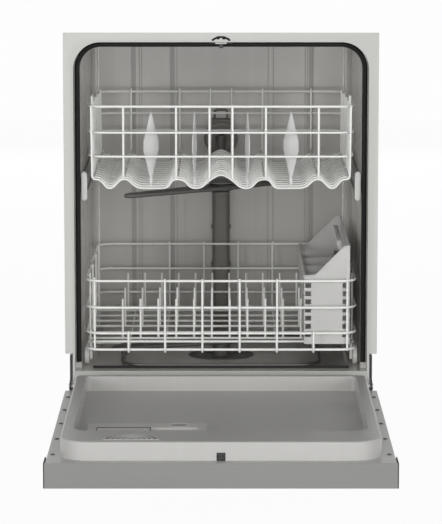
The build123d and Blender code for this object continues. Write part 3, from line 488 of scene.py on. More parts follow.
def makeTub():
    bm = meshOf("tub")
    softenEdges(bm, tubLook.edge, 3)
    piece = newPiece("tub_shell", bm, "tub", "flangeGrey", ("tub",))
    piece.data.materials.append(paint["tubGrey"])
    inside = frontY + tubLook.insideFrom * mm
    for face in piece.data.polygons:
        if face.center.y > inside:
            face.material_index = 1


makeTub()


def sealLine(half, top, radius):
    y, bends = sealLook.ledge, sealLook.bends
    line = [place(-half, y, sealLook.foot)]
    for side, start in ((-1, math.pi), (1, math.pi / 2)):
        middle = place(side * (half - radius), y, top - radius)
        for k in range(bends + 1):
            angle = start - k * math.pi / 2 / bends
            line.append(middle + Vector((math.cos(angle), 0, math.sin(angle))) * radius * mm)
    return line + [place(half, y, sealLook.foot)]


# the seal is a hollow rubber bulb: a flat foot in the corner and a round face with a crease
@shape("door_seal", "door_gasket", "gasketRubber", True)
def seal(bm):
    wide, thick, rounds = take(sealLook, "wide thick rounds")
    inset = sealLook.gap + wide / 2
    section = []
    for k in range(rounds + 1):
        angle = math.pi * k / rounds
        crease = sealLook.crease if k == rounds // 2 else 1.0
        section.append((math.cos(angle) * wide / 2 * mm, math.sin(angle) * thick * crease * mm))
    line = sealLine(*(size - inset for size in take(sealLook, "half top radius")))
    addSweep(bm, line, section, side=-right)


@shape("lower_lip", "lower_lip_seal", "gasketRubber", True)
def lowerLip(bm):
    low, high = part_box("lower_lip_seal")
    tall, half = (high.z - low.z) / mm, (high.y - low.y) / mm / 2
    (frontRise, backRise), (inner, outer) = take(sealLook, "lipRise lipEdge")
    lip = [(-half, 0), (half, 0), (half, tall * frontRise), (inner, tall), (outer, tall), (-half, tall * backRise)]
    ends = [Vector((x, (low.y + high.y) / 2, low.z)) for x in (low.x, high.x)]
    addRings(bm, [[end + Vector((0, v, u)) * mm for v, u in lip] for end in ends])


# moulded lines that the photograph shows on the back and side walls, with painted shade in the back wall's grooves
# and a painted highlight by its corners
wallLook = Look(
    backY=556, sideX=270, proud=1.2, foot=236, deep=1.5, stripX=(99.3, 108.7), stripZ=(186, 806), stripProud=0.3,
    frameX=(74, 19), frameTop=520, frameLine=3, sideYs=(150, 330, 506), sideZs=((236, 545), (582, 780)),
    sideHalf=3)
cornerLook = Look(round=13, steps=8, z=(212, 794), bead=1.9, beadSides=12, beadProud=0.4)
grooveShadeLook = Look(
    z=(186, 802), proud=0.4,
    lines=(
        (-183, 9.4), (-171, 1.6), (-166, 1.6), (-102, 9.4), (-92, 1.6), (98.5, 1.8), (109.5, 1.8), (176, 1.6),
        (181, 1.6), (189, 9.4)))


@shape("tub_wall_ribs", "tub", "tubGrey", soft=(0.5,))
def wallRibs(bm):
    y, proud, top, line = take(wallLook, "backY proud frameTop frameLine")
    addBox(bm, wallLook.stripX, (y - wallLook.stripProud, y + wallLook.deep), wallLook.stripZ)
    far, near = wallLook.frameX
    for xs in ((-far, -near), (near, far)):
        addBox(bm, xs, (y - proud, y), (top - line, top))
    for x in (-far, far):
        addBox(bm, about(x, line / 2), (y - proud, y), (wallLook.foot, top))
    for side in (-1, 1):
        wall = side * wallLook.sideX
        for y in wallLook.sideYs:
            for zs in wallLook.sideZs:
                addBox(bm, sorted((wall, wall - side * proud / 2)), about(y, wallLook.sideHalf), zs)


@shape("tub_corner_rounds", "tub", "tubGrey", angle=30)
def cornerRounds(bm):
    reach, steps, (low, high) = take(cornerLook, "round steps z")
    for side in (-1, 1):
        arc = [(side * wallLook.sideX, wallLook.backY)]
        for k in range(steps + 1):
            a = math.pi / 2 * k / steps
            inwards, forwards = reach * (1 - math.cos(a)), reach * (1 - math.sin(a))
            arc.append((side * (wallLook.sideX - inwards), wallLook.backY - forwards))
        addPlate(bm, [place(u, v, low) for u, v in arc], up * (high - low) * mm)


# white wire beads on the back wall beside the rounded corners: a painted highlight, the bright line those corners
# catch
@shape("tub_corner_highlight_beads", "tub", "whiteVinyl")
def cornerHighlightBeads(bm):
    y = wallLook.backY - cornerLook.beadProud
    for side in (-1, 1):
        bead = [place(side * (wallLook.sideX - cornerLook.round), y, z) for z in cornerLook.z]
        addWire(bm, bead, cornerLook.bead * mm, cornerLook.beadSides)


# flush strips in a darker grey: the wide ones fill the back wall's grooves and paint their shade, the narrow ones
# are dark lines beside them
@shape("tub_wall_groove_shade", "tub", "grooveShadeGrey", soft=(0.2, 1))
def wallGrooveShade(bm):
    ys = wallLook.backY - grooveShadeLook.proud, wallLook.backY + wallLook.deep
    for x, wide in grooveShadeLook.lines:
        addBox(bm, about(x, wide / 2), ys, grooveShadeLook.z)


# stiffening ribs moulded on the outside of the tub
ribLook = Look(
    half=3.5, side=(274, 279), sideYs=(110, 205, 300, 395, 490), sideZs=(300, 470, 640), sideSpan=(60, 545),
    height=(206, 792), back=(560, 563), backXs=(-180, -90, 0, 90, 180), backZs=(330, 500, 670),
    backSpan=(-250, 250), backHeight=(212, 772), roof=(836, 841), roofYs=(90, 170, 250), roofSpan=(-226, 226))


@shape("tub_outer_ribs", "tub", "tubGrey", soft=(1.4, 3))
def outerRibs(bm):
    half = ribLook.half
    for side in (-1, 1):
        xs = sorted(side * x for x in ribLook.side)
        for y in ribLook.sideYs:
            addBox(bm, xs, about(y, half), ribLook.height)
        for z in ribLook.sideZs:
            addBox(bm, xs, ribLook.sideSpan, about(z, half))
    for x in ribLook.backXs:
        addBox(bm, about(x, half), ribLook.back, ribLook.backHeight)
    for z in ribLook.backZs:
        addBox(bm, ribLook.backSpan, ribLook.back, about(z, half))
    for y in ribLook.roofYs:
        addBox(bm, ribLook.roofSpan, about(y, half), ribLook.roof)


# strike at the top of the opening: a dark plate, the bowed spring on the flange and a pale tongue under it
strikeLook = Look(
    half=17, y=-0.4, z=845.5, rise=6.5, steps=20, wire=(2, 1.1), screwX=5.5, screwDrop=1.5,
    head=((3.4, 0), (3.4, 0.6), (2.6, 1.3), (1, 1.5)), tongue=((-11, 11), (1, 8), (838.6, 841.6)))
softNode("latch_strike", "blackPlastic", 0.6, 2, "strike_plate")


@shape("strike_spring", "latch_strike", "gasketRubber")
def strikeSpring(bm):
    half, z, rise, steps = take(strikeLook, "half z rise steps")
    shares = [2 * k / steps - 1 for k in range(steps + 1)]
    bow = [place(half * t, strikeLook.y, z + rise * (1 - t * t)) for t in shares]
    addSweep(bm, bow, ovalPoints(*strikeLook.wire, 10), side=up)
    for x in (-strikeLook.screwX, strikeLook.screwX):
        addTurned(bm, strikeLook.head, place(x, 0, z + rise - strikeLook.screwDrop), -ahead)


@shape("strike_tongue", "tub", "tubGrey", soft=(1.2, 3))
def strikeTongue(bm):
    addBox(bm, *strikeLook.tongue)


print("tub made")


# base: sheets, panels and legs, each with the edge that its making leaves
baseNodes = (
    ("base_frame", "zincSteel", 0.3, 1), ("hinge_pins", "zincSteel", 0.3, 1),
    ("access_panel", "blackPaint", 0.6), ("toe_kick", "blackPaint", 0.6), ("hinge_leg_left", "blackPaint", 0.6),
    ("hinge_leg_right", "blackPaint", 0.6))
for row in baseNodes:
    softNode(*row)

# feet: a turned pad and a threaded stem
footLook = Look(
    radius=16, pad=((14.8, 0), (16, 1), (16, 6), (14, 8), (9, 8)), padSides=36, stemFrom=7.9, threadFrom=9,
    plain=10, pitch=2, crest=5, root=4.4, stemSides=24)


def makeFeet(node):
    bm = bmesh.new()
    low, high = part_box(node)
    top, (pitch, crest, root) = high.z / mm, take(footLook, "pitch crest root")
    for side in (-1, 1):
        centre = Vector((side * (high.x - footLook.radius * mm), (low.y + high.y) / 2, 0))
        addTurned(bm, footLook.pad, centre, up, footLook.padSides)
        stem = [(crest, footLook.stemFrom)]
        for i in range(int((top - footLook.plain) / pitch)):
            z = footLook.threadFrom + i * pitch
            stem += [(crest, z), (root, z + pitch / 2)]
        addTurned(bm, stem + [(root, top)], centre, up, footLook.stemSides)
    newPiece(node + "_turned", bm, "tub", "blackPlastic", (node,))


for node in ("front_feet", "rear_feet"):
    makeFeet(node)
print("base made")


# door: brushed skin, moulded liner and the fittings on them, in mm along the door (r) and above it (h)
doorNodes = (
    ("door_panel", "brushedSteel", 1.2, 3, "door_skin"), ("door_liner", "linerGrey", 1.6, 4, "liner_moulding"),
    ("console", "brushedSteel", 1.3, 3, "console_front"),
    ("console_ends", "blackPlastic", 0.5, 2, "console_end_caps"),
    ("handle_pocket", "blackPlastic", 1.0, 3, "grip_pocket"), ("control_board", "boardGreen", 0.25, 1, "board"),
    ("door_latch", "blackPlastic", 0.5, 2, "latch_body"), ("hinge_arm_left", "zincSteel", 0.4),
    ("hinge_arm_right", "zincSteel", 0.4))
for row in doorNodes:
    softNode(*row)

# screws with a recess along both borders of the liner
screwLook = Look(
    x=290.5, rs=(94, 216, 340, 473, 601), face=-3,
    head=((3.9, 0), (3.9, 0.7), (3.3, 1.5), (2.2, 1.95), (1.9, 1.95), (0.9, 1), (0.2, 0.9)))


@shape("liner_screws", "door_screws", "screwSteel", True)
def screws(bm):
    for side in (-1, 1):
        for r in screwLook.rs:
            addTurned(bm, screwLook.head, onDoor(side * screwLook.x, r, screwLook.face))


# steam vent: half-round slats that stand a little above the shelf
ventLook = Look(
    at=(-154, 632, 30), rim=47, rimLift=0.2, rimWire=(0.9, 2.4), plate=48, plateLift=0.1, plateThick=0.2,
    steps=32, slats=(11, 19.5, 28, 36.5), slatSteps=24, slatArc=(0.02, 0.96),
    slat=((-2.4, 0), (-2, 0.5), (1.2, 1.4), (1.9, 1.1), (2, 0)), closing=(0.98, 0.5, 0.02))


def halfRound(seat, radius, lift):
    angles = [math.pi * k / ventLook.steps for k in range(ventLook.steps + 1)]
    return [seat + (outwards(a) * radius + up * lift) * mm for a in angles]


@shape("vent_slats", "vent_grille", "linerGrey", True, angle=45)
def ventSlats(bm):
    seat = onDoor(*ventLook.at)
    rim = halfRound(seat, ventLook.rim, ventLook.rimLift)
    base = [rim[0] + (rim[-1] - rim[0]) * t for t in ventLook.closing]
    addSweep(bm, rim + base, ovalPoints(*ventLook.rimWire, 12), closed=True)
    steps, (start, share) = take(ventLook, "slatSteps slatArc")
    for slat in ventLook.slats:
        rows = []
        for k in range(steps + 1):
            out = outwards(math.pi * (start + share * k / steps))
            rows.append([seat + (out * (slat + u) + up * v) * mm for u, v in ventLook.slat])
        addRings(bm, rows)


# a thin dark half-round plate under the slats: painted shade in the opening of the vent
@shape("vent_shadow_plate", "door_latch", "ductGrey")
def ventShadePlate(bm):
    addPlate(bm, halfRound(onDoor(*ventLook.at), ventLook.plate, ventLook.plateLift), up * ventLook.plateThick * mm)


# dispenser: raised surround, lid with its black seal, ribs and the cap of the rinse tank
dispenserLook = Look(
    top=10.5, lidX=(-220, -126), lidR=(438, 534), gripX=(-150, -140), gripRs=(464, 475, 486, 497, 508),
    gripHalf=3, gripH=(10.3, 11.4), sealGap=0.6, sealBend=3, seal=0.75, cap=(-75, 417), capRing=(16.2, 1.1),
    studX=-33, studRs=(450, 520), stud=((3.2, -0.2), (3.2, 0.5), (2.2, 1.1), (0.6, 1.2)))
softNode("dispenser", "lidGrey", 1.2, 3, "dispenser_surround")
softNode("detergent_lid", "lidGrey", 0.7, 2, "sliding_lid")


@shape("lid_grip", "detergent_lid", "lidGrey", soft=(0.5,))
def lidGrip(bm):
    half = dispenserLook.gripHalf
    for r in dispenserLook.gripRs:
        addBox(bm, dispenserLook.gripX, (r + half, r - half), dispenserLook.gripH, onDoor)


@shape("lid_seal", "detergent_lid", "gasketRubber")
def lidSeal(bm):
    gap = dispenserLook.sealGap
    (x0, x1), (r0, r1) = ((low - gap, high + gap) for low, high in take(dispenserLook, "lidX lidR"))
    corners = [onDoor(x, r, dispenserLook.top) for x, r in ((x0, r1), (x1, r1), (x1, r0), (x0, r0))]
    line = roundedLine(corners, dispenserLook.sealBend * mm, closed=True)
    addSweep(bm, line, circlePoints(dispenserLook.seal * mm, 8), closed=True)


softNode("rinse_cap", "buttonGrey", 0.4, 2, "rinse_cap_disc")


@shape("dispenser_trim", "dispenser", "lidGrey")
def dispenserTrim(bm):
    addLoop(bm, onDoor(*dispenserLook.cap, dispenserLook.top), (right, ahead), *dispenserLook.capRing, 40)
    for r in dispenserLook.studRs:
        addTurned(bm, dispenserLook.stud, onDoor(dispenserLook.studX, r, dispenserLook.top))


# latch slot in the lip: a dark frame of four bars
latchLook = Look(
    r=(650.8, 649.8),
    bars=(((-7.5, 7.5), (-3, -2)), ((-7.5, 7.5), (10, 11.2)), ((-7.5, -6.3), (-2, 10)), ((6.3, 7.5), (-2, 10))))


@shape("latch_mouth", "door_latch", "blackPlastic", soft=(0.3,))
def latchMouth(bm):
    for xs, hs in latchLook.bars:
        addBox(bm, xs, latchLook.r, hs, onDoor)


for node in ("button_1", "button_2", "button_3", "button_4"):
    softNode(node, "buttonGrey", 0.5, 3, node + "_cap")
print("door made")


# racks: vinyl-coated wire; levels and stations are those of the CAD frame, in mm
rackLook = Look(front=18, corner=32, wire=2.5, thin=2, post=2.3, rim=2.2, sides=10)
lowerLook = Look(
    half=260, depth=505, levels=(247, 279, 329, 381), top=386, under=4.6, dip=(10, 26), floorBend=8,
    posts=(-108, -36, 36, 108), shortPosts=(-178.5, 178.5), shortTop=284, cornerX=244, cornerIn=10,
    cornerFoot=242, cross=(62, 99, 165, 238, 300, 365, 432, 470), crossZ=252.05, sidePosts=(75, 190, 330, 450),
    sideFoot=247.55, sideRun=60, sideBend=9, tineRows=(99, 238, 432), tineFirst=-193, tinePitch=35, tineCount=11,
    tineTop=331)
upperLook = Look(
    half=253, depth=490, top=(718, 703), mid=(668, 658), low=(622, 622), posts=(-187, -86, -22, 22, 86, 187),
    postFoot=576, frontProud=1.5, proud=7, sideYs=(110, 218, 316, 456), sideFoot=570.05,
    ties=(244.4, 185.5, 82.5), tieY=(17, 504), tieZ=582.05, clipPost=(557, 580))
waveLook = Look(
    first=20, pitch=36, count=13, crest=578, trough=561, middle=589, crests=((232, 247), (179, 192), (72, 93)),
    innerCrest=19.8, bend=12, troughs=((208, 218), (102, 161), (38.7, 57.5)), sides=8, proud=2, loops=(1, 2),
    loopEnds=731, loopTop=(730, 734))
clipLook = Look(
    xs=(-135, -51, 51, 135), yaws=(45, 78, -78, -45), y=60.4, foot=576, high=128, thick=1.25, edge=0.5,
    fold=0.25, sleeveFoot=565, sleeveSides=16,
    shape=((3, 0), (9.5, 0.17), (20, 0.42), (19.8, 0.56), (9, 0.8), (0.8, 1)),
    sleeve=((3.1, 0), (3.6, 0.5), (3.6, 15), (3, 16)))


def wireAt(bm, points, radius, bend=0.0):
    line = [place(*p) for p in points]
    if bend:
        line = roundedLine(line, bend * mm, 6)
    addWire(bm, line, radius * mm, rackLook.sides)


def uprightAt(bm, x, y, low, high, radius=rackLook.post):
    wireAt(bm, [(x, y, low), (x, y, high)], radius)


def rimLoop(bm, look, zFront, zBack, radius):
    half, y0, y1 = look.half, rackLook.front, rackLook.front + look.depth
    corners = [place(-half, y0, zFront), place(half, y0, zFront), place(half, y1, zBack), place(-half, y1, zBack)]
    line = roundedLine(corners, rackLook.corner * mm, 9, closed=True)
    addSweep(bm, line, circlePoints(radius * mm, rackLook.sides), closed=True)


# one long wire runs under the floor and turns up in front of the rim, so its bend shows below the rim
def floorWire(bm, x, frontTop, backTop):
    y0, y1 = rackLook.front, rackLook.front + lowerLook.depth
    level, out, (near, far) = lowerLook.levels[0], rackLook.wire + rackLook.thin, lowerLook.dip
    low = level - lowerLook.under
    points = [(x, y0 - out, frontTop), (x, y0 - out, low), (x, y0 + near, low), (x, y0 + far, level),
              (x, y1 - far, level), (x, y1 - near, low), (x, y1 + (out if backTop else 0), low)]
    if backTop:
        points.append((x, y1 + out, backTop))
    wireAt(bm, points, rackLook.post, lowerLook.floorBend)


@shape("lower_rack_wires", "lower_rack_frame", "whiteVinyl", True)
def lowerWires(bm):
    wire, thin, y0 = take(rackLook, "wire thin front")
    half, top, crossZ = take(lowerLook, "half top crossZ")
    for z in lowerLook.levels:
        rimLoop(bm, lowerLook, z, z, wire)
    for x in lowerLook.posts:
        floorWire(bm, x, top, top)
    for x in lowerLook.shortPosts:
        floorWire(bm, x, lowerLook.shortTop, 0)
    for x in (-lowerLook.cornerX, lowerLook.cornerX):
        uprightAt(bm, x, y0 + lowerLook.cornerIn, lowerLook.cornerFoot, top)
    for d in lowerLook.cross:
        wireAt(bm, [(-half, y0 + d, crossZ), (half, y0 + d, crossZ)], wire)
    for side in (-1, 1):
        x, foot = side * (half - wire - thin), lowerLook.sideFoot
        for d in lowerLook.sidePosts:
            points = [(x - side * lowerLook.sideRun, y0 + d, foot), (x, y0 + d, foot), (x, y0 + d, top)]
            wireAt(bm, points, rackLook.rim, lowerLook.sideBend)
    for d in lowerLook.tineRows:
        for i in range(lowerLook.tineCount):
            x = lowerLook.tineFirst + lowerLook.tinePitch * i
            uprightAt(bm, x, y0 + d, crossZ, lowerLook.tineTop)


# a flat plate that stands along the rack's side, its outline about y
def addSidePlate(bm, look, side, y):
    x0, x1 = sorted(side * x for x in look.x)
    addPlate(bm, [place(x0, y + v, z) for v, z in look.outline], right * (x1 - x0) * mm)


# wheel carriers of the lower rack: a clip over the rim, a plate and the axle's head
carrierLook = Look(
    ys=(78, 463), x=(251, 256), axleX=255, axleZ=226.3, sides=20,
    axle=((2, 0), (3, 0.2), (3, 9), (4.6, 9.2), (4.6, 10.4), (3.6, 11)),
    outline=(
        (-11, 249.5), (-9, 236), (-8, 221.3), (-4, 217.8), (4, 217.8), (8, 221.3), (9, 236), (11, 249.5),
        (6, 254.5), (-6, 254.5)))


@shape("rack_wheel_carriers", "lower_rack_frame", "whitePlastic", soft=(0.7,))
def carriers(bm):
    for side in (-1, 1):
        for y in carrierLook.ys:
            addSidePlate(bm, carrierLook, side, y)
            hub = place(side * carrierLook.axleX, y, carrierLook.axleZ)
            addTurned(bm, carrierLook.axle, hub, side * right, carrierLook.sides)


def wavePoints():
    half = []
    for (c0, c1), (t0, t1) in zip(waveLook.crests, waveLook.troughs):
        half += [(-c1, waveLook.crest), (-c0, waveLook.crest)]
        half += [(-t1, waveLook.trough), (-t0, waveLook.trough)]
    half += [(-waveLook.innerCrest, waveLook.crest), (0.0, waveLook.middle)]
    return half + [(-x, z) for x, z in reversed(half[:-1])]


# height of the upper rack's top rim, which falls towards the back
def rimAt(y):
    zFront, zBack = upperLook.top
    return zFront + (zBack - zFront) * (y - rackLook.front) / upperLook.depth


upperEdge = upperLook.half - rackLook.wire - rackLook.thin     # where the side wires stand


@shape("upper_rack_wires", "upper_rack_frame", "whiteVinyl", True)
def upperWires(bm):
    wire, thin, rim, y0 = take(rackLook, "wire thin rim front")
    (zFront, zBack), foot, proud = take(upperLook, "top postFoot proud")
    near, far = y0 + wire + thin, y0 + upperLook.depth - wire - thin
    for name, radius in (("top", wire), ("mid", rim), ("low", rim)):
        rimLoop(bm, upperLook, *upperLook[name], radius)
    for x in upperLook.ties:
        for side in (-1, 1):
            wireAt(bm, [(side * x, y, upperLook.tieZ) for y in upperLook.tieY], thin)
    for x in upperLook.posts:
        uprightAt(bm, x, near, foot, zFront + upperLook.frontProud)
        uprightAt(bm, x, far, foot, zBack + proud)
    for side in (-1, 1):
        for y in upperLook.sideYs:
            uprightAt(bm, side * upperEdge, y, upperLook.sideFoot, rimAt(y) + proud)
    for x in clipLook.xs:
        uprightAt(bm, x, clipLook.y, *upperLook.clipPost, thin)


@shape("wavy_floor", "upper_rack_floor", "whiteVinyl", True)
def wavyFloor(bm):
    ys = [waveLook.first + waveLook.pitch * i for i in range(waveLook.count)]
    for i, y in enumerate(ys):
        rim = waveLook.loopEnds if i in waveLook.loops else rimAt(y) + waveLook.proud
        line = [place(x, y, z) for x, z in [(-upperEdge, rim)] + wavePoints() + [(upperEdge, rim)]]
        addWire(bm, roundedLine(line, waveLook.bend * mm), rackLook.thin * mm, waveLook.sides)
    (first, last), (low, high) = (ys[i] for i in waveLook.loops), waveLook.loopTop
    for x in (-upperEdge, upperEdge):
        loop = [(x, first, low), (x, first, high), (x, last, high), (x, last, low)]
        wireAt(bm, loop, rackLook.thin, waveLook.bend)


# plates that hold the upper rack's wheels, screwed through the lower rim
wheelPlateLook = Look(
    x=(250.5, 254.5), studX=254.4, studZ=563, studSides=20,
    stud=((4.5, 0), (4.5, 1.2), (3, 1.6), (3, 6), (2.2, 6.4)), screwX=250.6, screwZs=(578, 602), screwSides=16,
    screw=((4.2, 0), (4.2, 0.7), (3.2, 1.4), (1.2, 1.6)),
    outline=((-14, 556), (-8, 550), (8, 550), (14, 556), (14, 604), (8, 613), (-8, 613), (-14, 604)))


@shape("upper_wheel_plates", "upper_rack_frame", "whitePlastic", soft=(0.6,))
def wheelPlates(bm):
    for side in (-1, 1):
        for y in upperLook.sideYs[2:]:
            addSidePlate(bm, wheelPlateLook, side, y)
            stud = place(side * wheelPlateLook.studX, y, wheelPlateLook.studZ)
            addTurned(bm, wheelPlateLook.stud, stud, side * right, wheelPlateLook.studSides)
            for z in wheelPlateLook.screwZs:
                screw = place(side * wheelPlateLook.screwX, y, z)
                addTurned(bm, wheelPlateLook.screw, screw, -side * right, wheelPlateLook.screwSides)


# kite-shaped clips: a thin plate with a folded middle and a sleeve at its foot
@shape("kite_clips", "item_clips", "clearClip", True)
def clips(bm):
    thick, edge, y = take(clipLook, "thick edge y")
    for x, yaw in zip(clipLook.xs, clipLook.yaws):
        turn = Matrix.Rotation(math.radians(yaw), 4, "Z")
        rings = []
        for wide, share in clipLook.shape:
            fold = 1.0 + clipLook.fold * math.sin(math.pi * share)
            ring = [(-wide, -edge), (-wide, edge), (-wide / 2, thick), (0, thick * fold), (wide / 2, thick),
                    (wide, edge), (wide, -edge), (wide / 2, -thick), (0, -thick), (-wide / 2, -thick)]
            centre = place(x, y, clipLook.foot + share * clipLook.high)
            rings.append([centre + turn @ Vector((u * mm, v * mm, 0)) for u, v in ring])
        addRings(bm, rings)
        addTurned(bm, clipLook.sleeve, place(x, y, clipLook.sleeveFoot), up, clipLook.sleeveSides)


print("rack wires made")


# basket: thin walls with slots, a bead along its top edge, a grip and a ribbed floor
basketLook = Look(
    x=(161, 249), y=(34, 470), footZ=255, topZ=(388, 446), wall=1.1, slotRows=7, slotFirst=14, slotPitch=16,
    slotHigh=9.5, slotX=((160, 174), (235, 250)), slotDeep=4, bead=1.9, beadSides=10, shoulderX=(182, 239),
    shoulderBend=6, cells=4, ribs=5, ribX=(164, 246), ribHalf=1.2, ribZ=(257.2, 259.4),
    grip=((248, 420), (233, 428), (233, 442)), gripY=(144, 360), gripBend=9, gripOval=(5, 2.2))


def makeBasketWalls():
    cutters = bmesh.new()
    for y in basketLook.y:
        for i in range(basketLook.slotRows):
            z = basketLook.footZ + basketLook.slotFirst + basketLook.slotPitch * i
            for xs in basketLook.slotX:
                addBox(cutters, xs, about(y, basketLook.slotDeep), (z, z + basketLook.slotHigh))
    bm = cutFrom("silverware_basket", cutters)
    softenEdges(bm, 0.6)
    newPiece("basket_walls", bm, "lower_rack", "basketGrey", ("silverware_basket",))


makeBasketWalls()


@shape("basket_beads", "silverware_basket", "basketGrey")
def basketBeads(bm):
    (x0, x1), (y0, y1), (mid, high), wall, count = take(basketLook, "x y topZ wall ribs")
    bead = circlePoints(basketLook.bead * mm, basketLook.beadSides)
    ends, inner, outer = (y0 + wall, y1 - wall), x0 + wall, x1 - wall
    for y in ends:
        top = [(inner, mid), (basketLook.shoulderX[0], mid), (basketLook.shoulderX[1], high), (outer, high)]
        addSweep(bm, roundedLine([place(x, y, z) for x, z in top], basketLook.shoulderBend * mm), bead)
    for x, z in ((inner, mid), (outer, high)):
        addSweep(bm, [place(x, y, z) for y in ends], bead)
    pitch = (y1 - y0) / basketLook.cells
    for i in range(basketLook.cells):
        for j in range(count):
            y = y0 + i * pitch + pitch * (j + 1) / (count + 1)
            addBox(bm, basketLook.ribX, about(y, basketLook.ribHalf), basketLook.ribZ)


@shape("basket_grip", "silverware_basket", "basketGrey")
def basketGrip(bm):
    near, far = basketLook.gripY
    grip = [place(x, near, z) for x, z in basketLook.grip]
    grip += [place(x, far, z) for x, z in reversed(basketLook.grip)]
    addSweep(bm, roundedLine(grip, basketLook.gripBend * mm, 7), ovalPoints(*basketLook.gripOval, 14), side=right)


# wheels, and rails of pressed channel with the oval stops that close their front ends
wheelNodes = (
    ("rack_wheel_front_left", "whitePlastic", 0.9, 3), ("rack_wheel_front_right", "whitePlastic", 0.9, 3),
    ("rack_wheel_rear_left", "whitePlastic", 0.9, 3), ("rack_wheel_rear_right", "whitePlastic", 0.9, 3),
    ("upper_rack_wheels", "whitePlastic", 0.8), ("tub_rollers", "whitePlastic", 0.8),
    ("rail_left", "zincSteel", 0.5), ("rail_right", "zincSteel", 0.5))
for row in wheelNodes:
    softNode(*row)

stopLook = Look(
    at=(263, 38, 563), radius=6, straight=22.5, sides=28, ease=0.3,
    rings=((0.95, 0), (1, 0.8), (1, 3.4), (0.94, 5), (0.8, 5.9), (0.45, 6)))


@shape("oval_stops", "rail_stops", "whitePlastic", True)
def stops(bm):
    (x, y, z), radius, straight, ease = take(stopLook, "at radius straight ease")
    for side in (-1, 1):
        rings = []
        for grow, out in stopLook.rings:
            rings.append([])
            for a in turns(stopLook.sides):
                v = math.sin(a) * radius + math.copysign(straight, math.sin(a))
                offset = Vector((math.cos(a) * radius * grow, -out, v * (1 - (1 - grow) * ease)))
                rings[-1].append(place(side * x, y, z) + offset * mm)
        addRings(bm, rings)


print("basket, wheels and rails made")


# wash system: spray arms lofted from their sections, with raised jets and ribs, in mm and in shares of the reach
armLook = Look(
    reach=235, root=31, tip=10.5, thick=12, skin=1.6, sides=20, square=(0.7, 0.75),
    stations=(0.1, 0.22, 0.4, 0.6, 0.8, 0.93, 0.97, 0.992, 1), closeFrom=0.93, closeLeast=0.02, flatTip=0.35,
    sink=0.4, droop=0.56, collar=((26, 1), (26, 9.5), (23.5, 11.5), (19, 12), (17.5, 11), (9.5, 11)),
    collarSides=40, jets=(70, 115, 160, 205), jetSize=(6.5, 2.6), jetAside=5, jetSides=18,
    jet=((1.25, 8.8), (1.15, 10.8), (1, 11.5), (0.72, 11.5), (0.6, 10.4)), ribs=(0.3, 0.52, 0.74), ribInset=3.5,
    ribZ=10.1, ribBow=1.2, ribWire=1.1)


def bent(value, power):
    return math.copysign(abs(value) ** power, value)


def armWidth(share):
    return armLook.root + (armLook.tip - armLook.root) * share


def armRing(share):
    start, sides, thick, (across, upward) = take(armLook, "closeFrom sides thick square")
    a, closing, ring = abs(share), 1.0, []
    if a >= start:
        closing = math.sqrt(max(armLook.closeLeast, 1 - ((a - start) / (1 - start)) ** 2))
    wide = armWidth(a) * closing
    high = (thick - armLook.skin) * (armLook.flatTip + (1 - armLook.flatTip) * closing) / 2
    middle = thick / 2 - armLook.sink - armLook.droop * a * a
    for t in turns(sides):
        u, v = wide * bent(math.cos(t), across), high * bent(math.sin(t), upward)
        ring.append((share * armLook.reach, u, v + middle))
    return ring


def makeArm(name, node, body, centre, yaw):
    turn = Matrix.Rotation(math.radians(yaw), 4, "Z")

    def onArm(x, y, z):
        return centre + turn @ Vector((x * mm, y * mm, z * mm))

    bm = bmesh.new()
    ends = armLook.stations
    shares = [-t for t in reversed(ends)] + [0.0] + list(ends)
    addRings(bm, [[onArm(*p) for p in armRing(t)] for t in shares])
    newPiece(name, bm, body, "armPlastic", (node,))
    bm = bmesh.new()
    addTurned(bm, armLook.collar, centre, up, armLook.collarSides)
    (long, wide), aside, sides = take(armLook, "jetSize jetAside jetSides")
    for x in armLook.jets:
        for s in (-1, 1):
            addRings(bm, [[onArm(s * x + long * grow * math.cos(a), s * aside + wide * grow * math.sin(a), z)
                           for a in turns(sides)] for grow, z in armLook.jet])
    for s in (-1, 1):
        for t in armLook.ribs:
            half = armWidth(t) - armLook.ribInset
            line = [onArm(s * t * armLook.reach, u * half, armLook.ribZ - armLook.ribBow * u * u)
                    for u in (-1, -0.5, 0, 0.5, 1)]
            addWire(bm, line, armLook.ribWire * mm, 8)
    newPiece(name + "_jets", bm, body, "armPlastic")


makeArm("lower_arm_blade", "lower_spray_arm", "lower_arm", place(0, 280, 213), 22)
makeArm("upper_arm_blade", "upper_spray_arm", "upper_arm", place(0, 261, 528), 37)


# caps: heights of the upper points are measured down from the cap's top
capLook = Look(
    foot=((16, 0), (17, 0.4)), top=((17, 2.2), (15, 0.3), (11.5, 0), (10.5, 0.8), (3, 0.8)), sides=40, grips=12,
    gripOut=16.6, gripFoot=((1.3, 0.3),), gripTop=((1.3, 2.4), (0.6, 1.6)))


def makeCap(node, name):
    low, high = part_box(node)
    centre = Vector(((low.x + high.x) / 2, (low.y + high.y) / 2, low.z))
    tall, grips, out = (high.z - low.z) / mm, capLook.grips, capLook.gripOut * mm

    def profile(foot, top):
        return list(capLook[foot]) + [(radius, tall - down) for radius, down in capLook[top]]

    bm = bmesh.new()
    addTurned(bm, profile("foot", "top"), centre, up, capLook.sides)
    for a in turns(grips):
        addTurned(bm, profile("gripFoot", "gripTop"), centre + outwards(a) * out, up, 10)
    newPiece(name, bm, nodes[node]["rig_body"], "armPlastic", (node,))


makeCap("lower_arm_cap", "lower_cap")
makeCap("upper_arm_cap", "upper_cap")


# heating loop: one round tube with wide soft corners, its nuts and the clips that hold it
heaterLook = Look(
    half=195, front=110, back=455, z=199, radius=3.5, sides=14, corner=60, leg=30, legBend=8, foot=190.3,
    steps=8, nut=((9, 0), (9, 2.4), (6.5, 3), (6.5, 6), (5, 6.4)),
    clips=((-195, 280), (195, 280), (-90, 110), (90, 110)), clipHalf=6, clipZ=(190.3, 193), pinZ=192.8,
    pinOut=5.2, pin=((1.5, 0), (1.3, 6), (0.8, 9)))


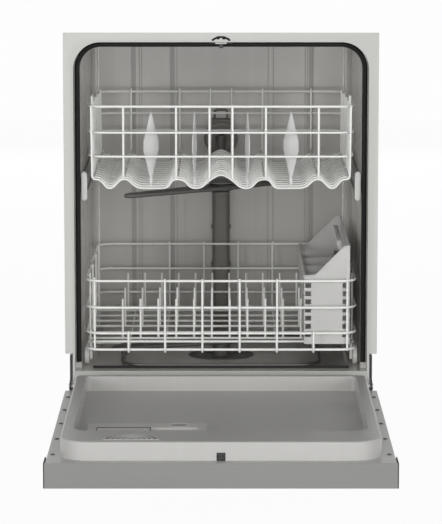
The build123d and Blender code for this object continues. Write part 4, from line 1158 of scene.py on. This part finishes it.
def heaterLine():
    half, front, back, z, leg, foot, steps = take(heaterLook, "half front back z leg foot steps")
    ends = [(leg, back, foot), (leg, back, z), (half, back, z), (half, front, z)]
    line = [place(-p[0], *p[1:]) for p in ends] + [place(*p) for p in reversed(ends)]
    smooth = [line[0]]
    for i in range(1, len(line) - 1):
        before, corner, after = line[i - 1:i + 2]
        reach = heaterLook["legBend" if i in (1, len(line) - 2) else "corner"] * mm
        a, b = ((beside - corner).normalized() * reach + corner for beside in (before, after))
        for t in (k / steps for k in range(steps + 1)):
            smooth.append(a * (1 - t) ** 2 + corner * 2 * t * (1 - t) + b * t ** 2)
    return smooth + [line[-1]]


@shape("heating_loop", "heater", "heaterSteel", True)
def heatingLoop(bm):
    leg, half, out = take(heaterLook, "leg clipHalf pinOut")
    addWire(bm, heaterLine(), heaterLook.radius * mm, heaterLook.sides, False)
    for x in (-leg, leg):
        addTurned(bm, heaterLook.nut, place(x, heaterLook.back, heaterLook.foot), up, 6)
    for x, y in heaterLook.clips:
        addBox(bm, about(x, half), about(y, half), heaterLook.clipZ)
        across = right if abs(x) == heaterLook.half else ahead     # the tube runs between the two pins
        for s in (-out, out):
            addTurned(bm, heaterLook.pin, place(x, y, heaterLook.pinZ) + across * s * mm, up, 10)


# filter: coarse plate, and the ribs and rings on it
filterLook = Look(
    at=(0, 280, 190.5), ringAt=(0, 280, 190.6), spokes=36, open=6, span=(24, 60), spoke=0.8, rings=(24, 61),
    ring=1.2)
softNode("filter", "armPlastic", 0.5, 2, "filter_plate")


@shape("filter_ribs", "filter", "armPlastic")
def filterRibs(bm):
    for k, a in enumerate(turns(filterLook.spokes)):
        if k % filterLook.open:
            line = [place(*filterLook.at) + outwards(a) * reach * mm for reach in filterLook.span]
            addWire(bm, line, filterLook.spoke * mm, 6)
    for radius in filterLook.rings:
        addLoop(bm, place(*filterLook.ringAt), (right, ahead), radius, filterLook.ring)


# feed duct on the back wall: clamps, the ringed dock and the hood over it
ductLook = Look(
    clampX=(-20.5, 20.5), clampY=(545, 556), clampZs=(250, 330, 410, 490), clampHigh=9, dock=(0, 532, 603),
    dockSides=48,
    dockRing=(
        (35, 0.3), (35, 3.8), (33, 5.6), (27, 6), (25.5, 4.4), (17, 4.4), (15.5, 6), (11.5, 6), (10, 4.5),
        (10, 0.3)),
    hood=((-26, 26), (536, 556), (622, 643)), loopY=549, loopWire=2.4, loopBend=5,
    loop=((-13, 640), (-13, 661), (13, 661), (13, 640)))
softNode("feed_tube", "ductGrey", 1.2, 3, "feed_duct")


@shape("duct_clamps", "feed_tube", "ductGrey", soft=(1.5, 3))
def ductClamps(bm):
    for z in ductLook.clampZs:
        addBox(bm, ductLook.clampX, ductLook.clampY, (z, z + ductLook.clampHigh))


@shape("dock_ring", "feed_dock", "ductGrey", True)
def dockRing(bm):
    addTurned(bm, ductLook.dockRing, place(*ductLook.dock), -ahead, ductLook.dockSides)


@shape("dock_hood", "feed_dock", "ductGrey")
def dockHood(bm):
    addBox(bm, *ductLook.hood)
    softenEdges(bm, 4.0, 4)
    loop = [place(x, ductLook.loopY, z) for x, z in ductLook.loop]
    addWire(bm, roundedLine(loop, ductLook.loopBend * mm), ductLook.loopWire * mm)


# rack feed: tube under the wavy floor with its ribs, and the bell over the upper arm
feedLook = Look(
    ribYs=(300, 345, 390, 435), ribZ=572, rib=(12.4, 1.2), ribSides=28, bellAt=(0, 261, 541.8), bellSides=40,
    bell=((25, 0), (27, 0.6), (27, 2.8), (24, 4.6), (19, 9.2), (13.5, 17.2), (9, 27.2), (6, 35.2)))
softNode("rack_feed", "armPlastic", 0.8, 2, "rack_feed_tube")


@shape("rack_feed_ribs", "rack_feed", "armPlastic")
def feedRibs(bm):
    for y in feedLook.ribYs:
        addLoop(bm, place(0, y, feedLook.ribZ), (right, up), *feedLook.rib, feedLook.ribSides)


@shape("upper_hub_bell", "rack_feed", "armPlastic")
def hubBell(bm):
    addTurned(bm, feedLook.bell, place(*feedLook.bellAt), up, feedLook.bellSides)


# below the floor: sump, pump, valve and box
plumbingNodes = (
    ("sump", "motorGrey", 0.8), ("drain_pump", "motorGrey", 0.8), ("water_valve", "blackPlastic", 0.8),
    ("junction_box", "zincSteel", 0.6))
for row in plumbingNodes:
    softNode(*row)

# motor: its can and a laminated band, measured from the can's back
motorLook = Look(behind=50, z=105, first=-37.5, pitch=5, count=12, band=(50.2, 0.9))
softNode("wash_motor", "motorGrey", 0.8, 2, "motor_can")


@shape("motor_laminations", "wash_motor", "zincSteel")
def laminations(bm):
    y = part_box("wash_motor")[1].y - motorLook.behind * mm
    for i in range(motorLook.count):
        x = motorLook.first + i * motorLook.pitch
        addLoop(bm, Vector((x * mm, y, motorLook.z * mm)), (ahead, up), *motorLook.band, 48, 6)


print("wash system made")


# CAD nodes that keep their own mesh still get a finish
keptFinish = {"tub_grey": "tubGrey", "black_rubber": "gasketRubber", "black_plastic": "blackPlastic",
              "zinc_steel": "zincSteel", "painted_panel": "blackPaint", "foot_plastic": "blackPlastic",
              "dark_plastic": "armPlastic", "heater_steel": "heaterSteel", "door_steel": "brushedSteel",
              "liner_grey": "linerGrey", "board_green": "boardGreen", "button_grey": "buttonGrey",
              "rack_vinyl": "whiteVinyl", "white_plastic": "whitePlastic"}
for name, node in nodes.items():
    node.data.materials.clear()
    node.data.materials.append(paint[keptFinish[slotOf(name)]])

# stage: a pale floor that stays white to the camera and keeps the shadow, soft light, and the photograph's camera
stageLook = Look(
    floorHalf=7, floorCells=8, floorGlow=0.96, ambient=0.2, backdrop=0.985,
    floor={"Base Color": (0.88, 0.88, 0.88, 1), "Roughness": 0.9, "Specular IOR Level": 0.1}, lens=198.1,
    sensor=36, clipEnd=60, camera=(0, -5.413, 1.24), tilt=81.48, aim=(0, 0, 0.45),
    lamps=(
        ("front_panel", (0, -6.2, 1.05), 80, 2.4), ("left_panel", (-3.3, -4.3, 1.15), 97, 2),
        ("right_panel", (3.3, -4.3, 1.05), 94, 2), ("back_panel", (0, 5.5, 1.9), 70, 3)))


def link(thing):
    bpy.context.scene.collection.objects.link(thing)


def seenByEye(tree):
    light = addNode(tree, "ShaderNodeLightPath").outputs
    both = addMath(tree, "MAXIMUM", light["Is Camera Ray"], light["Is Glossy Ray"])
    return addMath(tree, "MAXIMUM", both, light["Is Transmission Ray"])


def makeFloor():
    bm = bmesh.new()
    cells = stageLook.floorCells
    bmesh.ops.create_grid(bm, x_segments=cells, y_segments=cells, size=stageLook.floorHalf)
    mesh = bpy.data.meshes.new("studio_floor")
    bm.to_mesh(mesh)
    bm.free()
    floor = bpy.data.objects.new("studio_floor", mesh)
    link(floor)
    material = bpy.data.materials.new("studioFloor")
    material.use_nodes = True
    tree = material.node_tree
    shader = tree.nodes["Principled BSDF"]
    for socket, value in stageLook.floor.items():
        shader.inputs[socket].default_value = value
    glow = addNode(tree, "ShaderNodeEmission", (), {"Strength": 1.0})
    share = addMath(tree, "MULTIPLY", seenByEye(tree), stageLook.floorGlow)
    mix = addNode(tree, "ShaderNodeMixShader", [(share, 0), (shader.outputs[0], 1), (glow.outputs[0], 2)])
    tree.links.new(mix.outputs[0], tree.nodes["Material Output"].inputs["Surface"])
    mesh.materials.append(material)


def makeWorld():
    world = bpy.data.worlds.new("studio")
    bpy.context.scene.world = world
    world.use_nodes = True
    tree = world.node_tree
    back = tree.nodes["Background"]
    back.inputs["Color"].default_value = (1, 1, 1, 1)
    levels = {"To Min": stageLook.ambient, "To Max": stageLook.backdrop}
    tree.links.new(addRange(tree, seenByEye(tree), levels), back.inputs["Strength"])


def makeLamps():
    for name, spot, watts, size in stageLook.lamps:
        lamp = bpy.data.lights.new(name, "AREA")
        lamp.energy, lamp.size = watts, size
        holder = bpy.data.objects.new(name, lamp)
        holder.location = spot
        holder.visible_glossy = name != "back_panel"  # it only lifts the back, with no glare on the door
        holder.rotation_euler = (Vector(stageLook.aim) - Vector(spot)).to_track_quat("-Z", "Y").to_euler()
        link(holder)


def makeCamera():
    data = bpy.data.cameras.new("photo_camera")
    data.lens, data.sensor_width, data.clip_end = take(stageLook, "lens sensor clipEnd")
    camera = bpy.data.objects.new("photo_camera", data)
    camera.location = stageLook.camera
    camera.rotation_euler = (math.radians(stageLook.tilt), 0, 0)
    link(camera)
    bpy.context.scene.camera = camera


makeFloor()
makeWorld()
makeLamps()
makeCamera()
bpy.context.scene.view_settings.view_transform = "Standard"
print("stage made")
